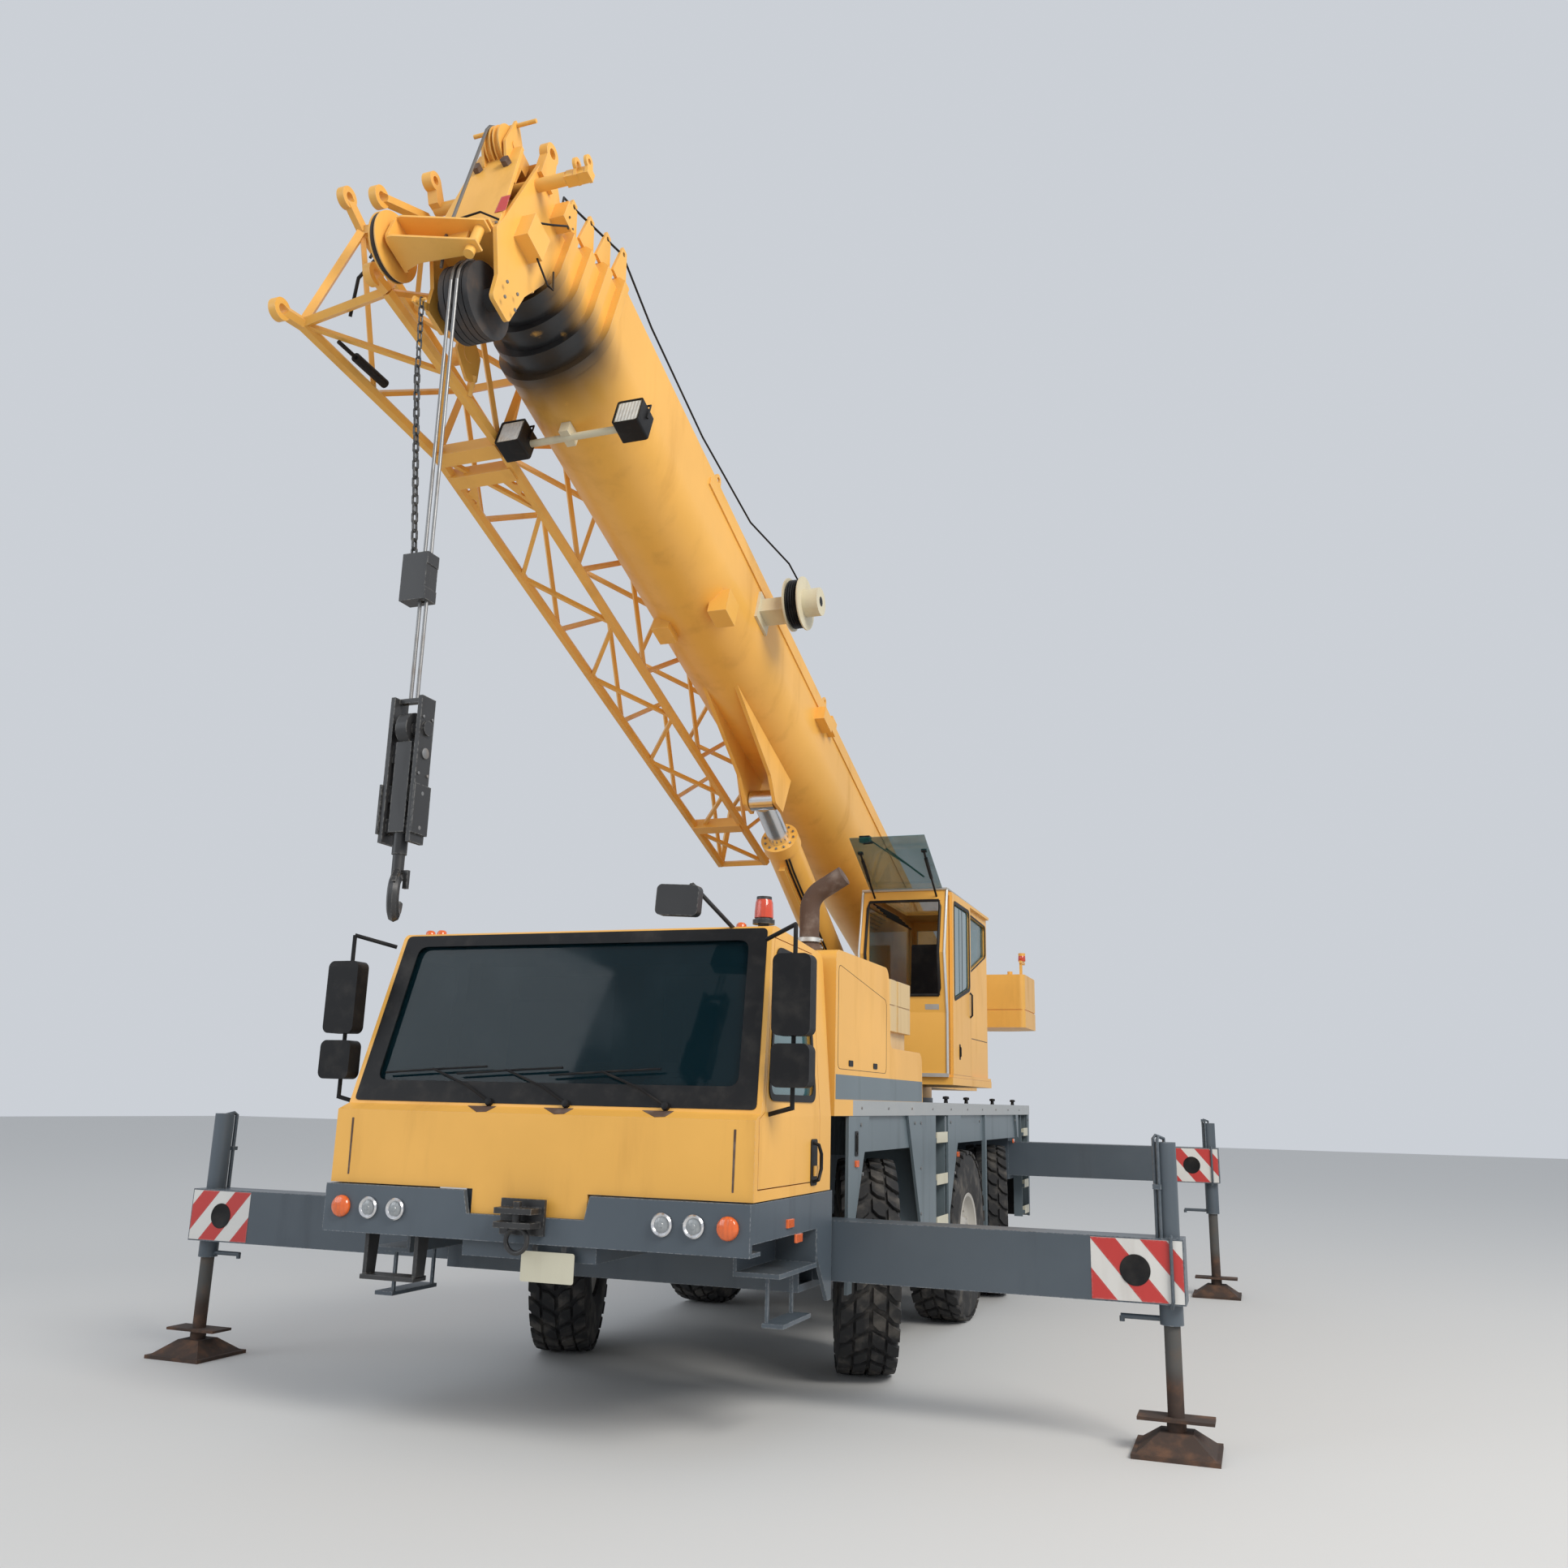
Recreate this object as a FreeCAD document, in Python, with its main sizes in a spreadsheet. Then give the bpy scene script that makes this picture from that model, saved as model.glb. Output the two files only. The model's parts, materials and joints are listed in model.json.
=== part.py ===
import FreeCAD, Part
import math
import os
import re
from FreeCAD import Placement, Rotation, Vector

# Three-axle mobile crane with a telescopic boom, full size, in millimetres.
# The vehicle faces -Y, +X is its left side, +Z is up and the ground is z = 0.
# A station is a distance behind the front bumper's face, measured along +Y.

# Driving sizes: alias=value
SIZES = dict(
    # Carrier: overall lines
    bumper_y=-4000, half_width=1265, running_fit=0.05,
    # Wheels, knuckles and axles
    wheel_radius=684, wheel_width=386, wheel_inset=185, rim_radius=320, rim_wall=28, tread_round=30,
    disc_inset=95, disc_wall=24, hub_radius=130, hub_reach=60,
    kingpin_inset=230, kingpin_radius=35, spindle_radius=45, fork_radius=62, fork_wall=40, fork_gap=64,
    steer_one=20, steer_three=12,
    axle_deep=140, axle_high=150, strut_radius=70, strut_x=300, housing_radius=190, housing_wide=300,
    # Stations of the axles and the outrigger boxes, each from its neighbour
    band_rear=1050, band_gap=16, axle_one_back=1026, spread_one=2515, spread_two=1650, rear_box_gap=863,
    tail_long=224, slew_ahead=310,
    # Frame
    frame_half=400, frame_rise=196, frame_high=465, frame_wall=20, neck_front=64, neck_bottom=900,
    ring_radius=620, ring_bore=470, ring_rise=50,
    # Outriggers
    beam_width=220, beam_high=332, beam_wall=14, beam_gap=6, seat_gap=0.3, beam_pitch=245,
    beam_inner_x=800, beam_outer_x=3215, jack_x=3130, front_beam_drop=145, rear_beam_rise=170,
    box_inset=115, box_wall=13, box_skin=40, dish_radius=78, dish_deep=8, dish_x=2960,
    jack_radius=62, jack_bore=50, leg_radius=43, leg_stroke=400, jack_cap=14, leg_rest_gap=20, gland_long=40,
    front_jack_top=828, rear_jack_top=570, front_jack_foot=110, rear_jack_foot=290,
    pad_size=440, pad_plate=22, pad_waist=170, pad_rise=108, pad_neck=50, pad_tray=390, pad_tray_z=160,
    pad_tray_wall=16, pad_hook_reach=265, pad_hook_radius=14,
    # Deck, side panels, ladders and boxes
    deck_rise=405, deck_wall=40, deck_gap=141, deck_end_inset=50, rail_wide=40, rail_high=95, well_gap=60,
    panel_wall=20, panel_inset=25, panel_low=780, panel_foot=620, arch_foot=860, arch_top=500, arch_rise=900,
    rear_arch_foot=700, rear_arch_top=250, rear_arch_back=730, cover_drop=225, cover_wall=12, cover_lap=2,
    cover_inner_x=880, bearer_long=80,
    tool_box_back=905, tool_box_long=425, tool_box_inner=700, tool_box_bottom=800, tank_top=1500,
    tank_round=90,
    ladder_gap=20, ladder_long=405, rear_ladder_back=287, rear_ladder_long=280, ladder_deep=102,
    rung_high=34,
    rung_step=313, rung_low=510, rear_rung_low=660, rear_rung_step=260, stringer_wide=16,
    # Carrier cab
    cab_front=34, cab_rear=1262, floor_rise=362, cab_belt_rise=413, cab_roof_rise=1431, cab_roof_fall=73,
    cab_screen_back=375, cab_roof_inset=75, cab_wall=50, glass_wall=6, screen_sill=57, screen_head=63,
    screen_inset=115, screen_round=50, cab_round=60, door_front=90, door_rear=1055, door_gap=6, door_sill=60,
    door_deep=130, window_sill=100, window_round=50, handle_long=70, handle_high=55, handle_reach=14,
    back_window_x=520, back_window_half=350, back_window_sill=295, back_window_high=530,
    jack_recess_wide=155, jack_recess_long=162, jack_recess_high=348, recess_wall=25,
    # Bumper band, steps and lamps
    band_top_gap=6, band_high=251, band_wall=30, notch_half=350, notch_deep=118, notch_flare=27,
    step_z=840, step_wall=25, step_front=450, step_deep=262, drop_step_front=520, drop_step_rear=960,
    drop_step_z=590,
    gusset_low=640, gusset_nose=860, gusset_rear=1305, gusset_wall=22,
    lamp_reach=12, lamp_drop=118,
    jaw_half=110, jaw_reach=120, jaw_plate=30, jaw_gap=40, jaw_pin=22, shackle_radius=62, shackle_wire=13,
    # Engine hood, exhaust, ballast, beacons and mirrors
    hood_gap=68, hood_long=1240, hump_long=930, hood_rise=895, hump_rise=356, hood_wall=25, hood_round=60,
    engine_half=420, engine_front=430, engine_long=740, engine_drop=195,
    stack_inset=215, stack_back=110, stack_radius=62, stack_rise=405, stack_bend=150, tip_long=170,
    ballast_gap=210, ballast_long=610, ballast_inset=60, ballast_wide=505, ballast_slab=182,
    ballast_foot=130,
    beacon_x=1090, beacon_back=530, beacon_radius=50, beacon_base=62, beacon_high=130, beacon_stalk=90,
    roof_mirror_x=795, roof_mirror_wide=255, roof_mirror_high=165, roof_mirror_rise=10, tube_radius=12,
    mirror_reach=135, mirror_back=196, mirror_wide=210, mirror_high=420, mirror_deep=100,
    spot_mirror_high=220,
    mirror_gap=40, mirror_round=40,
    # Superstructure
    table_rise=100, table_wall=60, table_half=560, table_front=900, table_rear=2500, ring_gap=10,
    pivot_rise=780, pivot_back=1450, luff_angle=20, pivot_pin=60, pivot_boss=110,
    cheek_x=380, cheek_wall=40, cheek_front=700, cheek_rear=2950, cheek_fit=2,
    base_pin_back=200, base_pin_rise=180, cylinder_pin=45,
    drum_back=2000, drum_rise=310, drum_radius=170, drum_flange=230, drum_half=300, drum_shaft=50,
    flange_wall=20,
    weight_half=1150, weight_front=2400, weight_long=850, weight_rise=720, weight_low_slab=200,
    weight_top_slab=405,
    weight_chamfer=300, weight_corner=120, weight_round=60,
    # Crane cab
    crane_cab_inner=430, crane_cab_outer=1230, crane_cab_front=1770, crane_cab_rear=60,
    crane_cab_high=1596, crane_cab_wall=40, crane_cab_fall=14, crane_cab_rake=100, crane_door_wall=30,
    crane_door_gap=6, crane_door_front=50, crane_door_long=740, crane_sill=736, crane_window_head=110,
    crane_pillar=60, crane_rail_high=25, swung_angle=28, swung_long=740, seat_wide=500, seat_high=456,
    # Boom
    boom_wide=700, boom_high=822, boom_low=20, boom_wall=12, boom_start=-290, boom_end=8890, boom_chamfer=50,
    stage_step=36, stage_wall=10, stage_fit=0.3, stage_start=180, stage_show=140, stage_lap=40, shoe_long=80,
    collar_wall=14, collar_long=60, fin_high=250, fin_wall=20,
    eye_s=4800, eye_drop=240, eye_radius=82, eye_wide=200, bracket_x=112, bracket_wall=30,
    barrel_radius=145, rod_radius=90, rod_long=2900, rod_cover=450, barrel_head=110, barrel_lip=14,
    foot_half=90,
    # Boom head
    head_axle=9560, head_axle_drop=200, sheave_radius=200, sheave_pitch=36, sheave_x=12, sheave_wide=30,
    sheave_pin=34, sheave_hub=60, head_plate=24, head_top=950, head_nose=9800, tube_s=9650, tube_u=650,
    tube_round=36,
    top_pulley_radius=120, top_pulley_s=9790, top_pulley_u=860, top_pulley_wide=40,
    nose_sheave_radius=180, nose_sheave_x=-350, nose_sheave_s=9870, nose_sheave_u=-40, nose_arm_high=180,
    ear_s=9660, ear_u=930, ear_radius=62, ear_bore=30, ear_wall=26,
    # Stowed jib
    jib_inner=460, jib_outer=900, jib_low=-40, jib_high=560, jib_chord=38, jib_brace=20, jib_rear=3500,
    jib_front=9640, jib_lug=62, jib_lug_bore=28, jib_lug_wall=46, beam_deep=100,
    # Cable reel, lights and boxes on the boom
    reel_s=6170, reel_u=580, reel_x=560, reel_flange=200, reel_drum=140, reel_wide=110, reel_motor=105,
    reel_motor_long=130, reel_wall=10,
    light_s=8500, light_u=-50, light_x=450, light_wide=150, light_deep=110, light_high=170,
    # Hook
    rope_radius=9, block_top=3520, block_half=86, block_deep=52, block_plate=22, block_long=690,
    block_sheave=78,
    hook_bowl=82, hook_wire=34, hook_drop=240, hook_turn=30,
    weight_top=4247, weight_tall=240, weight_wide=144, weight_thick=90, link_long=66, link_wide=34,
    link_wire=9,
    chain_links=22,
)

# Sizes worked out in the sheet from the driving ones
DERIVED = dict(
    wheel_x="half_width - wheel_inset",
    kingpin_x="wheel_x - kingpin_inset",
    box_half="half_width - box_inset",
    box_depth="beam_pitch + beam_width + 2 * beam_gap + 2 * box_wall",
    box_front="band_rear + band_gap",
    box_back="box_front + box_depth",
    front_right="box_front + box_wall + beam_gap + beam_width / 2",
    front_left="front_right + beam_pitch",
    axle_one="box_back + axle_one_back",
    axle_two="axle_one + spread_one",
    axle_three="axle_two + spread_two",
    rear_box_front="axle_three + rear_box_gap",
    rear_box_back="rear_box_front + box_depth",
    rear_left="rear_box_front + box_wall + beam_gap + beam_width / 2",
    rear_right="rear_left + beam_pitch",
    tail_end="rear_box_back + tail_long",
    slew_station="axle_three - slew_ahead",
    frame_bottom="wheel_radius + frame_rise",
    frame_top="frame_bottom + frame_high",
    neck_top="frame_bottom + floor_rise",
    cab_floor="frame_bottom + floor_rise",
    cab_belt="cab_floor + cab_belt_rise",
    cab_roof="cab_floor + cab_roof_rise",
    cab_roof_rear="cab_roof - cab_roof_fall",
    cab_screen_top="cab_front + cab_screen_back",
    front_beam_z="frame_bottom - front_beam_drop",
    rear_beam_z="frame_bottom + rear_beam_rise",
    deck_top="frame_top + deck_rise",
    deck_low="deck_top - deck_wall",
    deck_front="box_back + deck_gap",
    deck_end="tail_end - deck_end_inset",
    rail_x="half_width - rail_wide",
    panel_x="half_width - panel_inset",
    panel_top="deck_top - rail_high",
    band_top="cab_floor - band_top_gap",
    band_bottom="band_top - band_high",
    hood_front="cab_rear + hood_gap",
    hood_step="hood_front + hood_long",
    hood_rear="hood_step + hump_long",
    hood_top="deck_top + hood_rise",
    hood_hump="deck_top + hump_rise",
    ring_top="deck_top + ring_rise",
    table_bottom="ring_top + table_rise",
    table_top="table_bottom + table_wall",
    pivot_z="table_bottom + pivot_rise",
    base_pin_z="table_bottom + base_pin_rise",
    drum_z="table_bottom + drum_rise",
    weight_bottom="table_bottom + weight_rise",
    crane_cab_floor="table_top + seat_gap",
    crane_cab_roof="crane_cab_floor + crane_cab_high",
    crane_door_x="crane_cab_outer - crane_door_wall - crane_door_gap",
    boom_top="boom_low + boom_high",
)

doc = FreeCAD.newDocument("mobile_crane")
dims = doc.addObject("Spreadsheet::Sheet", "dims")
for row, alias in enumerate(list(SIZES) + list(DERIVED), start=1):
    dims.set(f"A{row}", alias)
    dims.set(f"B{row}", str(SIZES.get(alias, 0)))
    dims.setAlias(f"B{row}", alias)
doc.recompute()
for row, text in enumerate(DERIVED.values(), start=len(SIZES) + 1):
    dims.set(f"B{row}", "=" + text)
doc.recompute()


class Sizes:
    """The sheet's sizes, read by name as plain numbers."""

    def __getattr__(self, alias):
        return float(dims.get(alias))


s = Sizes()
NODES = []


def formula(text):
    """An expression in which each size's name points at the sheet."""
    return re.sub(r"[a-z][a-z_]+", lambda word: "dims." + word.group(), str(text))


def bind(piece, formulas):
    for prop, text in formulas.items():
        piece.setExpression(prop, formula(text))


def box(name, x, y, z):
    """A block between two formulas on each axis, with stations for y."""
    piece = doc.addObject("Part::Box", name)
    bind(piece, {"Length": f"({x[1]}) - ({x[0]})", "Width": f"({y[1]}) - ({y[0]})",
                 "Height": f"({z[1]}) - ({z[0]})", "Placement.Base.x": x[0],
                 "Placement.Base.y": f"bumper_y + {y[0]}", "Placement.Base.z": z[0]})
    return piece


def rod(name, radius, length, start, turn=Rotation()):
    """A round bar along +Z from its start, or turned; the start's y is a station."""
    piece = doc.addObject("Part::Cylinder", name)
    piece.Placement = Placement(Vector(), turn)
    bind(piece, {"Radius": radius, "Height": length, "Placement.Base.x": start[0],
                 "Placement.Base.y": f"bumper_y + {start[1]}", "Placement.Base.z": start[2]})
    return piece


def joined(name, pieces):
    piece = doc.addObject("Part::MultiFuse", name)
    piece.Shapes = pieces
    piece.Refine = True
    return piece


def grouped(name, pieces):
    piece = doc.addObject("Part::Compound", name)
    piece.Links = pieces
    return piece


def cut(name, base, tool):
    piece = doc.addObject("Part::Cut", name)
    piece.Base = base
    piece.Tool = tool
    return piece


def opposite(name, source):
    """The same piece on the vehicle's other side."""
    piece = doc.addObject("Part::Mirroring", name)
    piece.Source = source
    piece.Normal = Vector(1, 0, 0)
    return piece


def made(name, shape):
    """A piece whose shape is worked out from the sheet's sizes."""
    piece = doc.addObject("Part::Feature", name)
    piece.Shape = shape
    return piece


def node(piece, placement=None):
    """Register a finished piece of the crane."""
    piece.Label = piece.Name
    if placement is not None:
        piece.Placement = placement
    NODES.append(piece)
    return piece


def at(station):
    return s.bumper_y + station


LIFT = {"yz": lambda a, b: Vector(0, a, b), "xz": lambda a, b: Vector(a, 0, b), "xy": lambda a,
        b: Vector(a, b, 0)}
SQUARE = {"yz": Vector(1, 0, 0), "xz": Vector(0, 1, 0), "xy": Vector(0, 0, 1)}


def outline(points, plane, radii=None):
    """A closed wire through points (a, b) in plane yz, xz or xy, its corners rounded."""
    corners = [LIFT[plane](a, b) for a, b in points]
    radii = radii or {}
    edges = []
    ends = []
    for i, corner in enumerate(corners):
        before = (corners[i - 1] - corner).normalize()
        after = (corners[(i + 1) % len(corners)] - corner).normalize()
        radius = radii.get(i, 0)
        if radius == 0:
            ends.append((corner, corner))
            continue
        half = before.getAngle(after) / 2
        reach = radius / math.tan(half)
        middle = corner + (before + after).normalize() * (radius / math.sin(half) - radius)
        start, stop = corner + before * reach, corner + after * reach
        edges.append(Part.Arc(start, middle, stop).toShape())
        ends.append((start, stop))
    for i in range(len(corners)):
        start, stop = ends[i][1], ends[(i + 1) % len(corners)][0]
        if (stop - start).Length > 1e-6:
            edges.append(Part.LineSegment(start, stop).toShape())
    return Part.Wire(Part.__sortEdges__(edges))


def slab(points, plane, low, high, radii=None, inset=0):
    """A prism over an outline, from low to high along the axis square to its plane."""
    if isinstance(radii, (int, float)):
        radii = {i: radii for i in range(len(points))}
    wire = outline(points, plane, radii)
    if inset:
        wire = wire.makeOffset2D(-inset, 2)
    axis = SQUARE[plane]
    return Part.Face(wire).extrude(axis * (high - low)).translated(axis * low)


def round_bar(radius, start, reach):
    """A round bar from a point, along a vector."""
    return Part.makeCylinder(radius, Vector(*reach).Length, Vector(*start), Vector(*reach))


def bar(start, stop, radius, sides=0):
    """A straight bar between two points, round or with flat sides."""
    start, stop = Vector(*start), Vector(*stop)
    run = stop - start
    if not sides:
        return Part.makeCylinder(radius, run.Length, start, run)
    ring = [Vector(radius * math.cos(2 * math.pi * k / sides), radius * math.sin(2 * math.pi * k / sides), 0)
            for k in range(sides)]
    prism = Part.Face(Part.makePolygon(ring + ring[:1])).extrude(Vector(0, 0, run.Length))
    prism.Placement = Placement(start, Rotation(Vector(0, 0, 1), run))
    return prism


def block(x, y, z):
    """A block between two values of each coordinate."""
    return Part.makeBox(x[1] - x[0], y[1] - y[0], z[1] - z[0], Vector(x[0], y[0], z[0]))


def mirrored(shape):
    return shape.mirror(Vector(), Vector(1, 0, 0))


def both(shape):
    return [shape, mirrored(shape)]


def fused(shapes):
    """One shape of several; where refining its faces fails, they are joined one by one."""
    spare = [shape.copy() for shape in shapes]
    whole = shapes[0].multiFuse(shapes[1:]).removeSplitter() if len(shapes) > 1 else shapes[0]
    if whole.isValid():
        return whole
    whole = spare[0]
    for shape in spare[1:]:
        whole = whole.fuse(shape)
    return whole


# Chassis: a box frame between the two outrigger boxes, a neck under the cab, a tail and the slewing seat
ACROSS = ("-frame_half", "frame_half")
frame = cut("frame_tube",
            box("frame_outer", ACROSS, ("box_back", "rear_box_front"), ("frame_bottom", "frame_top")),
            box("frame_inner", ("-frame_half + frame_wall", "frame_half - frame_wall"),
                ("box_back + frame_wall", "rear_box_front - frame_wall"),
                ("frame_bottom + frame_wall", "frame_top - frame_wall")))
seat = cut("slewing_seat",
           rod("seat_outer", "ring_radius", "ring_top - frame_top", ("0", "slew_station", "frame_top")),
           rod("seat_inner", "ring_bore", "ring_top - frame_top", ("0", "slew_station", "frame_top")))
neck = box("frame_neck", ACROSS, ("neck_front", "box_front"), ("neck_bottom", "neck_top"))
saddle = box("frame_saddle", ACROSS, ("box_front", "box_back"),
             ("front_beam_z + beam_high + box_skin", "neck_top"))
tail = box("frame_tail", ACROSS, ("rear_box_back", "tail_end"), ("frame_bottom", "frame_top"))
node(joined("chassis", [frame, seat, neck, saddle, tail]))

# Outrigger boxes: two channels side by side, one for each side's beam


def outrigger_box(name, front, beam_z, stations):
    whole = ("-box_half", "box_half")
    body = box(name + "_body", whole, (front, front + " + box_depth"),
               (beam_z + " - box_skin", beam_z + " + beam_high + box_skin"))
    channels = [box(f"{name}_channel_{k}", whole,
                    (f"{station} - beam_width / 2 - beam_gap", f"{station} + beam_width / 2 + beam_gap"),
                    (beam_z + " - seat_gap", beam_z + " + beam_high + beam_gap"))
                for k, station in enumerate(stations)]
    return cut(name, body, joined(name + "_channels", channels))


node(grouped("outrigger_boxes", [
    outrigger_box("front_box", "box_front", "front_beam_z", ("front_left", "front_right")),
    outrigger_box("rear_box", "rear_box_front", "rear_beam_z", ("rear_left", "rear_right"))]))

# Outrigger beams, each with its upright jack tube and pad hook, and the jack legs with their pads
# Table of corners: name, side, station, beam's underside, jack's top, jack's foot
FRONT_JACK = (s.front_beam_z, s.front_beam_z + s.front_jack_top, s.front_beam_z - s.front_jack_foot)
REAR_JACK = (s.rear_beam_z, s.rear_beam_z + s.rear_jack_top, s.rear_beam_z - s.rear_jack_foot)
CORNERS = (
    ("front_left", 1, s.front_left) + FRONT_JACK,
    ("front_right", -1, s.front_right) + FRONT_JACK,
    ("rear_left", 1, s.rear_left) + REAR_JACK,
    ("rear_right", -1, s.rear_right) + REAR_JACK,
)


def outrigger_beam(station, low, jack_top, jack_foot):
    y = at(station)
    half = s.beam_width / 2
    skin = s.beam_wall
    tube = block((s.beam_inner_x, s.beam_outer_x), (y - half, y + half), (low, low + s.beam_high))
    hollow = block((s.beam_inner_x - 1, s.jack_x - 2 * s.jack_radius), (y - half + skin, y + half - skin),
                   (low + skin, low + s.beam_high - skin))
    jack = round_bar(s.jack_radius, (s.jack_x, y, jack_foot), (0, 0, jack_top - jack_foot))
    bore = round_bar(s.jack_bore, (s.jack_x, y, jack_foot + s.gland_long),
                     (0, 0, jack_top - jack_foot - s.jack_cap - s.gland_long))
    gland = round_bar(s.leg_radius + s.seat_gap, (s.jack_x, y, jack_foot), (0, 0, 2 * s.gland_long))
    dish = round_bar(s.dish_radius, (s.dish_x, y - half, low + s.beam_high / 2), (0, s.dish_deep, 0))
    hook_z = jack_foot + 2 * s.pad_hook_radius
    tip_x = s.jack_x - s.pad_hook_reach
    arm = round_bar(s.pad_hook_radius, (tip_x, y, hook_z), (s.pad_hook_reach - s.jack_bore, 0, 0))
    tip = round_bar(s.pad_hook_radius, (tip_x + s.pad_hook_radius / 2, y, hook_z - 2 * s.pad_hook_radius),
                    (0, 0, 2 * s.pad_hook_radius))
    return fused([tube.cut(hollow), jack, arm, tip]).cut(bore.fuse(gland)).cut(dish)


def jack_leg(station, jack_top):
    y = at(station)
    half = s.pad_size / 2
    waist = s.pad_waist / 2
    plate = block((s.jack_x - half, s.jack_x + half), (y - half, y + half), (0, s.pad_plate))

    def ring(size, z):
        return Part.makePolygon([Vector(s.jack_x + i * size, y + j * size, z)
                                 for i, j in ((-1, -1), (1, -1), (1, 1), (-1, 1), (-1, -1))])

    cone = Part.makeLoft([ring(half - s.pad_plate, s.pad_plate), ring(waist, s.pad_rise)], True, True)
    neck = round_bar(s.pad_neck, (s.jack_x, y, s.pad_rise), (0, 0, s.pad_tray_z - s.pad_rise))
    tray = block((s.jack_x - s.pad_tray / 2, s.jack_x + s.pad_tray / 2), (y - waist, y + waist),
                 (s.pad_tray_z, s.pad_tray_z + s.pad_tray_wall))
    top = jack_top - s.jack_cap - s.leg_rest_gap - s.leg_stroke
    leg = round_bar(s.leg_radius, (s.jack_x, y, s.pad_tray_z), (0, 0, top - s.pad_tray_z))
    return fused([plate, cone, neck, tray, leg])


for corner, side, station, low, jack_top, jack_foot in CORNERS:
    beam = outrigger_beam(station, low, jack_top, jack_foot)
    leg = jack_leg(station, jack_top)
    node(made("beam_" + corner, beam if side > 0 else mirrored(beam)))
    node(made("leg_" + corner, leg if side > 0 else mirrored(leg)))

# Axles, knuckles and wheels
AXLES = (("one", s.axle_one, s.steer_one), ("two", s.axle_two, None), ("three", s.axle_three, s.steer_three))


def axle_beam(station, steered):
    y = at(station)
    z = s.wheel_radius
    deep, high = s.axle_deep / 2, s.axle_high / 2
    wide = s.housing_wide / 2
    housing = [(-wide, 0), (-wide, high), (-wide / 2, s.housing_radius), (wide / 2, s.housing_radius),
               (wide, high),
               (wide, 0)]
    turned = Part.Face(outline(housing, "xy")).revolve(Vector(), Vector(1, 0, 0), 360)
    shapes = [turned.translated(Vector(0, y, z))]
    if steered:
        end = s.kingpin_x - s.fork_wall
        height = s.fork_gap - 1
        shapes += [block((-end, end), (y - deep, y + deep), (z - height, z + height))]
        shapes += both(round_bar(s.fork_radius, (s.kingpin_x, y, z - height), (0, 0, 2 * height)))
    else:
        end = s.wheel_x + s.hub_reach
        shapes += [block((-s.kingpin_x, s.kingpin_x), (y - deep, y + deep), (z - high, z + high))]
        shapes += [round_bar(s.spindle_radius, (-end, y, z), (2 * end, 0, 0))]
    shapes += both(round_bar(s.strut_radius, (s.strut_x, y, z), (0, 0, s.frame_bottom - z)))
    body = fused(shapes)
    if steered:
        for hole in both(round_bar(s.kingpin_radius + s.running_fit, (s.kingpin_x, y, z - s.wheel_width),
                                   (0, 0, 2 * s.wheel_width))):
            body = body.cut(hole)
    return body


node(made("axle_beams", Part.makeCompound([axle_beam(station, steer is not None) for _, station,
                                           steer in AXLES])))


def knuckle():
    """A steering knuckle about its kingpin at the origin, with its spindle towards +X."""
    reach = s.fork_gap + s.fork_wall
    web_x = s.fork_radius + 10
    web_end = web_x + s.fork_wall
    pin = round_bar(s.kingpin_radius, (0, 0, -reach), (0, 0, 2 * reach))
    arms = [round_bar(s.fork_radius, (0, 0, z), (0, 0, s.fork_wall)).fuse(
        block((0, web_end), (-s.fork_radius, s.fork_radius), (z, z + s.fork_wall))) for z in (s.fork_gap,
                                                                                              -reach)]
    web = block((web_x, web_end), (-s.fork_radius, s.fork_radius), (-reach, reach))
    spindle = round_bar(s.spindle_radius, (web_x, 0, 0), (s.kingpin_inset + s.hub_reach - web_x, 0, 0))
    return fused([pin, web, spindle] + arms)


def wheel():
    """A tyre on its dished rim, about its own axle along X, its outer face towards +X."""
    half, radius = s.wheel_width / 2, s.wheel_radius
    rim, wall = s.rim_radius, s.rim_wall
    disc = half - s.disc_inset
    hub_end = s.hub_reach + s.rim_wall
    bore = s.spindle_radius + s.running_fit
    shoulder = 2 * s.tread_round
    profile = [
        (-half + shoulder / 3, rim), (-half, rim + shoulder), (-half, radius - 2 * shoulder),
        (-half + shoulder / 2, radius - shoulder / 2), (-half + shoulder, radius), (half - shoulder, radius),
        (half - shoulder / 2, radius - shoulder / 2), (half, radius - 2 * shoulder), (half, rim + shoulder),
        (half - shoulder / 3, rim), (half - shoulder / 3, rim - wall), (disc, rim - 1.6 * wall),
        (disc, s.hub_radius + wall), (hub_end, s.hub_radius), (hub_end, bore), (-s.hub_reach / 2, bore),
        (-s.hub_reach / 2, s.hub_radius), (disc - s.disc_wall, s.hub_radius + wall / 2),
        (disc - s.disc_wall, rim - 1.6 * wall), (-half + shoulder / 3, rim - wall),
    ]
    return Part.Face(outline(profile, "xy")).revolve(Vector(), Vector(1, 0, 0), 360)


knuckle_shape = knuckle()
wheel_shape = wheel()
for name, station, steer in AXLES:
    for side, label in ((1, "left"), (-1, "right")):
        turned = Rotation(Vector(0, 0, 1), (steer or 0) + (0 if side > 0 else 180))
        hub = Vector(side * s.wheel_x, at(station), s.wheel_radius)
        if steer is not None:
            kingpin = Vector(side * s.kingpin_x, at(station), s.wheel_radius)
            hub = kingpin + turned.multVec(Vector(s.kingpin_inset, 0, 0))
            node(made(f"knuckle_{name}_{label}", knuckle_shape.copy()), Placement(kingpin, turned))
        node(made(f"wheel_{name}_{label}", wheel_shape.copy()), Placement(hub, turned))

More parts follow.
